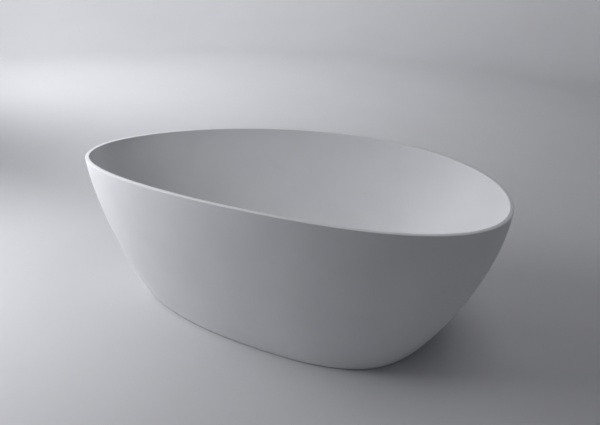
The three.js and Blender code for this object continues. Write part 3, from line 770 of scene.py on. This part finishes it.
def overflow_coupler():
    """The box that gathers the channel into a round spout with two barbs."""
    top = SOCKET_DEPTH - 1
    bottom = top - COUPLER_HEIGHT
    body = prism("overflow_coupler_body", rounded(COUPLER_WIDTH, COUPLER_THICKNESS, 6), bottom, top)
    socket = rounded(CHANNEL_WIDTH + 2 * GAP, CHANNEL_THICKNESS + 4 * GAP, 1.5)
    mouth = prism("socket", socket, -2 * GAP, SOCKET_DEPTH)
    chamber = prism("chamber", rounded(COUPLER_WIDTH - 12, COUPLER_THICKNESS - 5, 4), bottom + COUPLER_FLOOR, -GAP)
    piece = softened(cut(body, mouth), 0.8)
    barb = 0.5
    spout = turned("spout", [
        (0, bottom - SPOUT_LENGTH), (SPOUT_RADIUS - barb, bottom - SPOUT_LENGTH),
        (SPOUT_RADIUS + barb, bottom - 14), (SPOUT_RADIUS - barb, bottom - 13.6),
        (SPOUT_RADIUS + barb, bottom - 7), (SPOUT_RADIUS - barb, bottom - 6.6),
        (SPOUT_RADIUS, bottom + 1), (0, bottom + 1),
    ], 0.2)
    bore = rod("bore", SPOUT_BORE, bottom - SPOUT_LENGTH - 1, bottom + COUPLER_FLOOR + 1)
    piece = cut(join(piece, spout), chamber, bore)
    return stand_for(placed(piece, AT_CHANNEL_END), "overflow_coupler")


def through_points(points, steps):
    """A centripetal Catmull-Rom curve through the points."""
    points = np.asarray(points, float)
    points = np.concatenate([[2 * points[0] - points[1]], points, [2 * points[-1] - points[-2]]])
    made = []
    for p0, p1, p2, p3 in zip(points, points[1:], points[2:], points[3:]):
        knots = np.cumsum([0, *[np.linalg.norm(b - a) ** 0.5 for a, b in ((p0, p1), (p1, p2), (p2, p3))]])
        for t in np.linspace(knots[1], knots[2], steps, endpoint=False):
            a1 = p0 + (p1 - p0) * (t - knots[0]) / (knots[1] - knots[0])
            a2 = p1 + (p2 - p1) * (t - knots[1]) / (knots[2] - knots[1])
            a3 = p2 + (p3 - p2) * (t - knots[2]) / (knots[3] - knots[2])
            b1 = a1 + (a2 - a1) * (t - knots[0]) / (knots[2] - knots[0])
            b2 = a2 + (a3 - a2) * (t - knots[1]) / (knots[3] - knots[1])
            made.append(b1 + (b2 - b1) * (t - knots[1]) / (knots[2] - knots[1]))
    return np.array(made + [points[-2]])


def pipe_path():
    """The route from the coupler's spout to the waste body's branch."""
    spout_top = SOCKET_DEPTH - 1 - COUPLER_HEIGHT - 1
    along = [np.array(AT_CHANNEL_END @ Vector((0, 0, (spout_top - d) * MM))) / MM for d in (0, 14, 28)]
    return through_points([
        *along,
        (2, -318, 168), (1, -262, 126), (0, -205, 112.5), (0, -150, 111), (0, -100, 106),
        (0, -BRANCH_REACH - 8, BRANCH_HEIGHT), (0, -BRANCH_REACH + 6, BRANCH_HEIGHT),
        (0, -BODY_RADIUS - 2, BRANCH_HEIGHT),
    ], 12)


PIPE_PATH = pipe_path()


def overflow_pipe():
    piece = swept("overflow_pipe_tube", PIPE_PATH, (1, 0, 0), circle(PIPE_RADIUS), circle(PIPE_BORE))
    return stand_for(softened(piece, 0.4, 2), "overflow_pipe")


def pipe_clip(node, share):
    """A worm-drive band clip: a slotted band, its housing, and a hexagon-headed screw."""
    inner = PIPE_RADIUS + CLIP_GAP
    half = CLIP_WIDTH / 2
    band = ring(f"{node}_band", inner, CLIP_RADIUS - 0.5, -half, half, 0.2)
    upright = spin(QUARTER, "Y") @ spin(QUARTER) @ spin(math.radians(18))
    slots = [
        placed(prism("slit", rounded(1.1, 5, 0.5, 2), CLIP_RADIUS - 1.2, CLIP_RADIUS + 1),
               spin(i * TURN / 20 - 1.0) @ upright)
        for i in range(CLIP_SLOTS)
    ]
    piece = cut(band, *slots)
    housing = placed(prism("housing", rounded(8, 6, 2), -half + 0.5, half - 0.5), shift(0, CLIP_RADIUS + 1.6, 0))
    piece = join(piece, softened(housing, 0.5))
    lie = shift(0, CLIP_RADIUS + 2.4, 0) @ spin(QUARTER, "Y")
    screw = join(prism("screw", circle(2.4, 32), -5, 5), prism("head", hexagon(5.5), 4.5, 6.5))
    slit = prism("slit", rounded(5.5, 0.8, 0.3), 5.7, 7)
    piece = join(piece, placed(cut(softened(screw, 0.2, 2), slit), lie))
    steps = np.linalg.norm(np.diff(PIPE_PATH, axis=0), axis=1)
    along = np.r_[0, np.cumsum(steps)] / steps.sum()
    place, ahead = (
        np.array([np.interp(spot, along, PIPE_PATH[:, axis]) for axis in range(3)]) for spot in (share, share + 0.01)
    )
    turn = Vector((0, 0, 1)).rotation_difference(Vector(ahead - place)).to_matrix().to_4x4()
    return stand_for(placed(piece, shift(*place) @ turn), node)


# ---- Waste ----

TAIL_RADIUS, TAIL_END, THROAT_RADIUS = 25, 98, 22
FLANGE_RADIUS, FLANGE_HEIGHT = 36.5, 2.6
FLANGE_BOTTOM = DRAIN_HEIGHT - 1.8
FLANGE_TOP = FLANGE_BOTTOM + FLANGE_HEIGHT
BRIDGE_BOTTOM, BRIDGE_TOP, HUB_RADIUS, SPOKE_WIDTH = 106, 111, 11, 4
WINDOW_WIDTH, WINDOW_BOTTOM, WINDOW_TOP = 16, 99.5, 104.5
STEM_RADIUS, SLEEVE_RADIUS = 5, 7.6
WASHER_THICKNESS = 3.5
BACKNUT_FLATS, BACKNUT_HEIGHT = 66, 10
CAP_RADIUS, BOSS_RADIUS, BOSS_BOTTOM = 31, 9, 138
CAP_UNDERSIDE = FLANGE_TOP + GAP
DIP_RADIUS, DIP_END, DIP_BORE = 20, 20, 17.5
CHAMBER_RADIUS, BODY_TOP = 28.5, 117.7


def lying(piece, angle, height):
    """A piece drawn along +Z, laid level to point along an angle seen from above."""
    return placed(piece, shift(0, 0, height) @ spin(angle) @ spin(QUARTER, "Y"))


def waste_flange():
    """The dished flange and threaded tail, with a bridge across the throat and windows for the overflow."""
    piece = turned("waste_flange_turning", [
        (THROAT_RADIUS, TAIL_END), (TAIL_RADIUS - 0.5, TAIL_END), (TAIL_RADIUS, TAIL_END + 0.8),
        (TAIL_RADIUS, FLANGE_BOTTOM), (FLANGE_RADIUS, FLANGE_BOTTOM),
        (FLANGE_RADIUS, FLANGE_TOP - 1.4), (FLANGE_RADIUS - 1.6, FLANGE_TOP),
        (THROAT_RADIUS + 5, FLANGE_TOP - 0.3), (THROAT_RADIUS + 2, FLANGE_TOP - 0.7),
        (THROAT_RADIUS, FLANGE_TOP - 3),
    ], 0.6, 96, thread(TAIL_RADIUS, 105.5, 139, 2.0, 0.8))
    spoke = rounded(2 * THROAT_RADIUS + 2, SPOKE_WIDTH, 0.5)
    spokes = [placed(prism("spoke", spoke, BRIDGE_BOTTOM, BRIDGE_TOP), spin(turn)) for turn in (0, QUARTER)]
    hub = turned("hub", [(0, BRIDGE_BOTTOM), (HUB_RADIUS, BRIDGE_BOTTOM), (HUB_RADIUS, BRIDGE_TOP), (0, BRIDGE_TOP)])
    piece = join(piece, join(hub, *spokes))
    bore = rod("bore", SLEEVE_RADIUS + GAP, BRIDGE_BOTTOM - 1, BRIDGE_TOP + 1)
    window = rounded(3 * TAIL_RADIUS, WINDOW_WIDTH, 2)
    windows = [
        placed(prism("window", window, WINDOW_BOTTOM, WINDOW_TOP), spin(turn))
        for turn in (QUARTER / 2, 3 * QUARTER / 2)
    ]
    return stand_for(cut(piece, bore, *windows), "waste_flange")


def waste_seals():
    """The gasket under the flange, and the washer under the basin with moulded sealing ribs."""
    low, high = REBATE_FLOOR + GAP, FLANGE_BOTTOM - GAP
    gasket = ring("flange_gasket_ring", TAIL_RADIUS + 1.4, FLANGE_RADIUS - 1, low, high, 0.35)
    stand_for(gasket, "flange_gasket")
    bottom, top = BASIN_UNDERSIDE - WASHER_THICKNESS, BASIN_UNDERSIDE - GAP
    inner = TAIL_RADIUS + GAP
    profile = [(inner, bottom), (FLANGE_RADIUS, bottom), (FLANGE_RADIUS, top)]
    for i in range(4):
        outside = FLANGE_RADIUS - 1.5 - 2.4 * i
        profile += [(outside, top), (outside - 0.5, top - 0.5), (outside - 1.1, top - 0.5), (outside - 1.6, top)]
    washer = turned("waste_washer_ring", [*profile, (inner, top)], 0.25)
    stand_for(washer, "waste_washer")


def waste_backnut():
    bottom = BASIN_UNDERSIDE - WASHER_THICKNESS - GAP - BACKNUT_HEIGHT
    piece = nut("waste_backnut_hexagon", BACKNUT_FLATS, TAIL_RADIUS + GAP, bottom, BACKNUT_HEIGHT)
    return stand_for(piece, "waste_backnut")


def waste_branch():
    """The branch for the overflow pipe, with two barbs."""
    barb = 0.4
    branch = turned("branch", [
        (0, BODY_RADIUS - 3), (SPOUT_RADIUS + 1, BODY_RADIUS - 3),
        (SPOUT_RADIUS + 1, BODY_RADIUS + 1.4), (SPOUT_RADIUS - barb, BODY_RADIUS + 2),
        (SPOUT_RADIUS - barb, 44), (SPOUT_RADIUS + barb, 44.4), (SPOUT_RADIUS - barb, 51),
        (SPOUT_RADIUS + barb, 51.4), (SPOUT_RADIUS - barb, BRANCH_REACH), (0, BRANCH_REACH),
    ], 0.2)
    return lying(branch, -QUARTER, BRANCH_HEIGHT)


def waste_body():
    """The moulded body: a chamber round the tail, a branch for the overflow, and the trap's dip tube."""
    piece = turned("waste_body_moulding", [
        (DIP_BORE, DIP_END), (DIP_RADIUS, DIP_END), (DIP_RADIUS, 79), (BODY_RADIUS - 1.5, 87),
        (BODY_RADIUS - 1.5, 91), (BODY_RADIUS, 92), (BODY_RADIUS, 94), (BODY_RADIUS - 1.2, 95),
        (BODY_RADIUS - 1.2, 112), (BODY_RADIUS, 113), (BODY_RADIUS, BODY_TOP),
        (TAIL_RADIUS + GAP, BODY_TOP), (TAIL_RADIUS + GAP, BODY_TOP - 4),
        (CHAMBER_RADIUS, BODY_TOP - 5), (CHAMBER_RADIUS, 95), (DIP_BORE, 84),
    ], 0.8)
    bore = rod("bore", SPOUT_BORE, CHAMBER_RADIUS - 4, BRANCH_REACH + 1)
    piece = cut(join(piece, waste_branch()), lying(bore, -QUARTER, BRANCH_HEIGHT))
    return stand_for(piece, "waste_body")


def plug_guide():
    """The sleeve in the bridge and its nut, which stay with the tub."""
    sleeve = turned("plug_sleeve_turning", [
        (STEM_RADIUS + RUNNING_GAP, 96), (SLEEVE_RADIUS, 96), (SLEEVE_RADIUS, BRIDGE_TOP + GAP),
        (HUB_RADIUS - 0.5, BRIDGE_TOP + GAP), (HUB_RADIUS - 0.5, BRIDGE_TOP + 5),
        (SLEEVE_RADIUS, BRIDGE_TOP + 5), (SLEEVE_RADIUS, 133), (STEM_RADIUS + RUNNING_GAP, 133),
    ], 0.4, 72, thread(SLEEVE_RADIUS, 96.6, 111, 1.0, 0.45))
    stand_for(sleeve, "plug_sleeve")
    flats, height = 19, 5
    piece = nut("sleeve_nut_hexagon", flats, SLEEVE_RADIUS + GAP, BRIDGE_BOTTOM - GAP - height, height)
    stand_for(piece, "sleeve_nut")


def plug():
    """The stem, seal and cap, which move together."""
    stem_top = BOSS_BOTTOM - GAP
    stem = turned("plug_stem_turning", [
        (0, 92), (STEM_RADIUS - 0.8, 92), (STEM_RADIUS, 93), (STEM_RADIUS, 126),
        (STEM_RADIUS - 0.7, 126.4), (STEM_RADIUS - 0.7, 127.6), (STEM_RADIUS, 128),
        (STEM_RADIUS, stem_top), (0, stem_top),
    ], 0.2, 64)
    stand_for(stem, "plug_stem")
    low, high = BOSS_BOTTOM + 1, CAP_UNDERSIDE - 1.2
    lip = THROAT_RADIUS - 0.4
    seal = turned("plug_seal_ring", [
        (BOSS_RADIUS + GAP, low), (lip - 4, low), (lip, low + 1.6), (lip, low + 2.6),
        (lip - 2, high), (BOSS_RADIUS + GAP, high),
    ], 0.5)
    stand_for(seal, "plug_seal")
    dome_top, dome_drop, dome_edge = CAP_UNDERSIDE + 5.4, 2.6, CAP_RADIUS - 1
    cap = turned("plug_cap_turning", [
        (0, BOSS_BOTTOM), (BOSS_RADIUS, BOSS_BOTTOM), (BOSS_RADIUS, CAP_UNDERSIDE),
        (dome_edge, CAP_UNDERSIDE), (CAP_RADIUS, CAP_UNDERSIDE + 0.8),
        (CAP_RADIUS, CAP_UNDERSIDE + 1.8),
        *[(radius, dome_top - dome_drop * (radius / dome_edge) ** 2) for radius in np.linspace(dome_edge, 1, 14)],
        (0, dome_top),
    ], 0.4, 128)
    stand_for(cap, "plug_cap")


# ---- Trap ----

TRAP_RADIUS, TRAP_WALL, TRAP_BOTTOM, TRAP_SPLIT, TRAP_TOP = 46, 3, 5, 24, 66
OUTLET_HEIGHT, OUTLET_RADIUS, OUTLET_WALL = 45, 16, 2
OUTLET_START, OUTLET_DROP, OUTLET_BEND = 51, 106, 26


def trap_head():
    """The bottle's upper half, with a stepped band round its lower edge and a socket for the outlet."""
    inside = TRAP_RADIUS - TRAP_WALL
    piece = turned("trap_head_moulding", [
        (inside, TRAP_SPLIT), (TRAP_RADIUS, TRAP_SPLIT), (TRAP_RADIUS, TRAP_SPLIT + 4),
        (TRAP_RADIUS - 1, TRAP_SPLIT + 4.6), (TRAP_RADIUS - 1, TRAP_TOP - 6),
        (TRAP_RADIUS - 6, TRAP_TOP), (DIP_RADIUS + GAP, TRAP_TOP),
        (DIP_RADIUS + GAP, TRAP_TOP - TRAP_WALL), (inside - 5, TRAP_TOP - TRAP_WALL),
        (inside, TRAP_TOP - 8),
    ], 1.2)
    outer = OUTLET_RADIUS + GAP + 3
    socket = turned("socket", [
        (0, TRAP_RADIUS - 5), (outer - 1, TRAP_RADIUS - 5), (outer - 1, TRAP_RADIUS + 14),
        (outer, TRAP_RADIUS + 15), (outer, TRAP_RADIUS + 22), (0, TRAP_RADIUS + 22),
    ], 0.6)
    bore = rod("bore", OUTLET_RADIUS + GAP, TRAP_RADIUS + 4, TRAP_RADIUS + 23)
    port = rod("port", OUTLET_RADIUS - OUTLET_WALL, TRAP_RADIUS - 8, TRAP_RADIUS + 5)
    hollow = rod("hollow", inside - GAP / 2, TRAP_SPLIT - 1, TRAP_TOP - 8)
    piece = join(piece, lying(socket, 0, OUTLET_HEIGHT))
    piece = cut(piece, lying(bore, 0, OUTLET_HEIGHT), lying(port, 0, OUTLET_HEIGHT), hollow)
    return stand_for(piece, "trap_head")


def trap_cup():
    """The bottle's cup, fluted for the hand, unscrewed for cleaning."""
    inside = TRAP_RADIUS - TRAP_WALL
    top = TRAP_SPLIT - GAP
    piece = turned("trap_cup_moulding", [
        (0, TRAP_BOTTOM), (TRAP_RADIUS - 4, TRAP_BOTTOM), (TRAP_RADIUS, TRAP_BOTTOM + 4),
        (TRAP_RADIUS, top), (inside, top), (inside, TRAP_BOTTOM + TRAP_WALL + 2),
        (inside - 2, TRAP_BOTTOM + TRAP_WALL), (0, TRAP_BOTTOM + TRAP_WALL),
    ], 0.8, 192, flutes(TRAP_RADIUS, TRAP_BOTTOM + 4, top, 24, 1.4))
    return stand_for(piece, "trap_cup")


def trap_nut():
    flats, height = 56, 10
    return stand_for(nut("trap_nut_hexagon", flats, DIP_RADIUS + GAP, TRAP_TOP + GAP, height), "trap_nut")


def outlet_pipe():
    """Level out of the trap, then round a bend and straight down."""
    bend = [
        (OUTLET_DROP - OUTLET_BEND * (1 - t) ** 2, 0, OUTLET_HEIGHT - OUTLET_BEND * t**2)
        for t in np.linspace(0, 1, 17)
    ]
    start = [(x, 0, OUTLET_HEIGHT) for x in np.linspace(OUTLET_START, OUTLET_DROP - OUTLET_BEND, 5)[:-1]]
    end = [(OUTLET_DROP, 0, z) for z in np.linspace(OUTLET_HEIGHT - OUTLET_BEND, SKIRT_CLEARANCE, 5)[1:]]
    bore = circle(OUTLET_RADIUS - OUTLET_WALL)
    piece = swept("outlet_pipe_tube", start + bend + end, (0, 1, 0), circle(OUTLET_RADIUS), bore)
    return stand_for(softened(piece, 0.4, 2), "outlet_pipe")


# ---- Cradle and feet ----

TUBE, TUBE_WALL = 30, 2
RAIL_LENGTH, RAIL_Y, RAIL_BOTTOM = 800, 150, 65
RAIL_TOP = RAIL_BOTTOM + TUBE
CROSSBAR_X, CROSSBAR_LENGTH = 300, 380
CROSSBAR_TOP = RAIL_TOP + GAP + TUBE
SUPPORT_Y, SUPPORT_RADIUS = 110, 22
FOOT_X = 370
STUD_RADIUS, STUD_BOTTOM, STUD_TOP = 6, 6, 124
COLLAR_BOTTOM, COLLAR_TOP, COLLAR_FLATS = 15.3, 21, 17
THREAD_PITCH, THREAD_DEPTH = 1.75, 0.95
PAD_RADIUS, PAD_EDGE, PAD_NECK, PAD_HEIGHT = 28, 4, 10.5, 15
FOOT_NUT_FLATS, FOOT_NUT_HEIGHT = 19, 9
SIDES = (("near", -1), ("far", 1))
ENDS = (("narrow", -1), ("wide", 1))


def square_tube(name, length):
    """A cold-formed tube along +X, centred on the origin, with rounded corners."""
    path = [(x, 0, 0) for x in np.linspace(-length / 2, length / 2, 9)]
    bore = TUBE - 2 * TUBE_WALL
    return softened(swept(name, path, (0, 1, 0), rounded(TUBE, TUBE, 3), rounded(bore, bore, 1.2)), 0.25, 2)


def rail(node, side):
    piece = placed(square_tube(f"{node}_tube", RAIL_LENGTH), shift(0, side * RAIL_Y, RAIL_BOTTOM + TUBE / 2))
    holes = [
        placed(rod("hole", STUD_RADIUS + GAP, RAIL_BOTTOM - 1, RAIL_TOP + 1, 48), shift(end * FOOT_X, side * RAIL_Y))
        for _, end in ENDS
    ]
    return stand_for(cut(piece, *holes), node)


def crossbar(node, end):
    piece = square_tube(f"{node}_tube", CROSSBAR_LENGTH)
    placed(piece, shift(end * CROSSBAR_X, 0, CROSSBAR_TOP - TUBE / 2) @ spin(QUARTER))
    return stand_for(piece, node)


def support_pad(name):
    """A rubber pad with concentric grooves under the basin."""
    bottom, top = CROSSBAR_TOP + GAP, BASIN_UNDERSIDE - GAP
    profile = [(0, bottom), (SUPPORT_RADIUS, bottom), (SUPPORT_RADIUS, top)]
    for i in range(4):
        outside = SUPPORT_RADIUS - 2.5 - 4.5 * i
        profile += [(outside, top), (outside - 0.6, top - 1.2), (outside - 1.8, top - 1.2), (outside - 2.4, top)]
    return turned(name, [*profile, (0, top)], 0.4, 72)


def foot_pad(name):
    """A moulded glide with a ribbed shoulder and a socket for the stud."""
    ribs, hollow_depth = 12, 1.8

    def rule(r, z, angle):
        """Hollows the shoulder between ribs that run from the edge up to the neck."""
        on_shoulder = PAD_NECK + 0.6 < r < PAD_RADIUS - 5.5 and z > PAD_EDGE
        hollow = np.clip(1.6 * (0.5 - 0.5 * np.cos(ribs * angle)) - 0.2, 0, 1)
        return r - on_shoulder * hollow_depth * hollow

    socket = STUD_RADIUS + RUNNING_GAP
    wide = PAD_RADIUS - 5
    shoulder = [
        (radius, PAD_EDGE + 4 + (wide - radius) * (PAD_HEIGHT - 8 - PAD_EDGE) / (wide - PAD_NECK))
        for radius in np.linspace(wide, PAD_NECK, 8)
    ]
    return turned(name, [
        (0, 0), (PAD_RADIUS, 0), (PAD_RADIUS, PAD_EDGE),
        *shoulder,
        (PAD_NECK, PAD_HEIGHT), (socket, PAD_HEIGHT), (socket, STUD_BOTTOM - GAP),
        (0, STUD_BOTTOM - GAP),
    ], 0.6, 144, Dress(PAD_EDGE, PAD_HEIGHT, 50, rule))


def foot_stud(name):
    """A threaded stud with a hexagon collar for the spanner."""
    shank = turned(name, [
        (0, STUD_BOTTOM), (STUD_RADIUS - 1, STUD_BOTTOM), (STUD_RADIUS, STUD_BOTTOM + 1),
        (STUD_RADIUS, STUD_TOP - 1), (STUD_RADIUS - 1, STUD_TOP), (0, STUD_TOP),
    ], 0.1, 32, thread(STUD_RADIUS, COLLAR_TOP + 1, STUD_TOP - 1, THREAD_PITCH, THREAD_DEPTH))
    collar = softened(prism("collar", hexagon(COLLAR_FLATS), COLLAR_BOTTOM, COLLAR_TOP), 0.4)
    return join(shank, collar)


def copied(piece, name, x, y):
    twin = linked(name, piece.data)
    twin.location = (x * MM, y * MM, 0)
    return twin


def foot_nut(name, bottom):
    return nut(name, FOOT_NUT_FLATS, STUD_RADIUS + 2 * RUNNING_GAP, bottom, FOOT_NUT_HEIGHT)


def cradle_and_feet():
    """Rails, crossbars, and one pattern of each corner piece copied to the four corners."""
    for side_name, side in SIDES:
        rail(f"rail_{side_name}", side)
    for end_name, end in ENDS:
        crossbar(f"crossbar_{end_name}", end)
    patterns = {
        "support_pad": (support_pad("pattern_support"), CROSSBAR_X, SUPPORT_Y),
        "foot_pad": (foot_pad("pattern_pad"), FOOT_X, RAIL_Y),
        "foot_stud": (foot_stud("pattern_stud"), FOOT_X, RAIL_Y),
        "foot_weldnut": (foot_nut("pattern_weldnut", RAIL_BOTTOM - GAP - FOOT_NUT_HEIGHT), FOOT_X, RAIL_Y),
        "foot_locknut": (foot_nut("pattern_locknut", RAIL_TOP + GAP), FOOT_X, RAIL_Y),
    }
    for part, (pattern, x, y) in patterns.items():
        for side_name, side in SIDES:
            for end_name, end in ENDS:
                node = f"{part}_{side_name}_{end_name}"
                stand_for(copied(pattern, f"{node}_finished", end * x, side * y), node)
        bpy.data.objects.remove(pattern)


outer_shell()
inner_basin()
overflow_trim()
rounded_copy("overflow_gasket", "overflow_gasket_sheet", 0.15)
rounded_copy("overflow_channel", "overflow_channel_duct", 0.5)
overflow_coupler()
overflow_pipe()
pipe_clip("pipe_clip_upper", 0.045)
pipe_clip("pipe_clip_lower", 0.96)
waste_flange()
waste_seals()
waste_backnut()
waste_body()
plug_guide()
plug()
trap_head()
trap_cup()
trap_nut()
outlet_pipe()
cradle_and_feet()

# ---- Stage and light ----

ROOM_RADIUS = 6.5
ROOM_HEIGHT = 5.0
COVE = 1.6
ROOM_CORNERS = 128


def studio():
    """A round pale floor that sweeps up into a wall."""
    flat = ROOM_RADIUS - COVE
    curve = [(flat + COVE * math.sin(a), COVE - COVE * math.cos(a)) for a in np.linspace(0, QUARTER, 16)]
    profile = [(r / MM, z / MM) for r, z in [(0.05, 0), (2.5, 0), *curve, (ROOM_RADIUS, ROOM_HEIGHT)]]
    rings = [raised(circle(r, ROOM_CORNERS), z) for r, z in profile]
    room = from_rings("studio_floor", [rings[0] * [0, 0, 1], *rings], False)
    m = Nodes("studio_paint")
    m.base(m.mixed(m.ranged(m.noise(1.5), 0.0, 1.0), (0.60, 0.605, 0.62), (0.62, 0.625, 0.64)))
    m.rough(m.ranged(m.noise(30.0), 0.55, 0.65))
    room.data.materials.append(m.material)


DAYLIGHT = (0.973, 0.973, 1.0)


def area_light(name, place, target, size, power):
    data = bpy.data.lights.new(name, "AREA")
    data.shape = "RECTANGLE"
    data.size, data.size_y = size
    data.energy = power
    data.color = DAYLIGHT
    light = linked(name, data)
    light.location = place
    light.rotation_euler = (Vector(target) - Vector(place)).to_track_quat("-Z", "Y").to_euler()
    light.visible_camera = False


def wall_wash(name, direction, power):
    """A light that faces away from the tub, onto the backdrop; the direction is in degrees from +X."""
    x, y = math.cos(math.radians(direction)), math.sin(math.radians(direction))
    area_light(name, (3.5 * x, 3.5 * y, 2.8), (6.4 * x, 6.4 * y, 0.8), (2.6, 1.6), power)


def lighting():
    """A soft key from the left, two weak fills from above, and washes that grade the backdrop."""
    area_light("key", (-1.9, -0.4, 1.5), (0, 0, 0.3), (1.4, 1.4), 38)
    area_light("fill_above", (1.2, 0.4, 3.6), (0, 0, 0), (2.0, 2.0), 17)
    area_light("fill_far", (0.4, 2.4, 3.0), (0, 0, 0.3), (3.0, 1.6), 5)
    area_light("wash_back_left", (-3.0, 2.0, 2.4), (-1.5, 6.4, 1.0), (2.4, 2.4), 113)
    area_light("wash_back", (-1.0, 3.5, 3.4), (0.5, 6.4, 0.6), (3.0, 1.5), 38)
    wall_wash("wash_left", 193, 120)
    wall_wash("wash_front_left", 230, 10)
    wall_wash("wash_front", 275, 8)
    wall_wash("wash_front_right", 320, 8)
    wall_wash("wash_right", 5, 8)
    world = bpy.data.worlds.new("studio_air")
    world.use_nodes = True
    background = world.node_tree.nodes["Background"]
    background.inputs["Color"].default_value = (0.93, 0.95, 1.0, 1.0)
    background.inputs["Strength"].default_value = 0.01
    bpy.context.scene.world = world


studio()
lighting()
bpy.context.scene.view_settings.view_transform = "Standard"
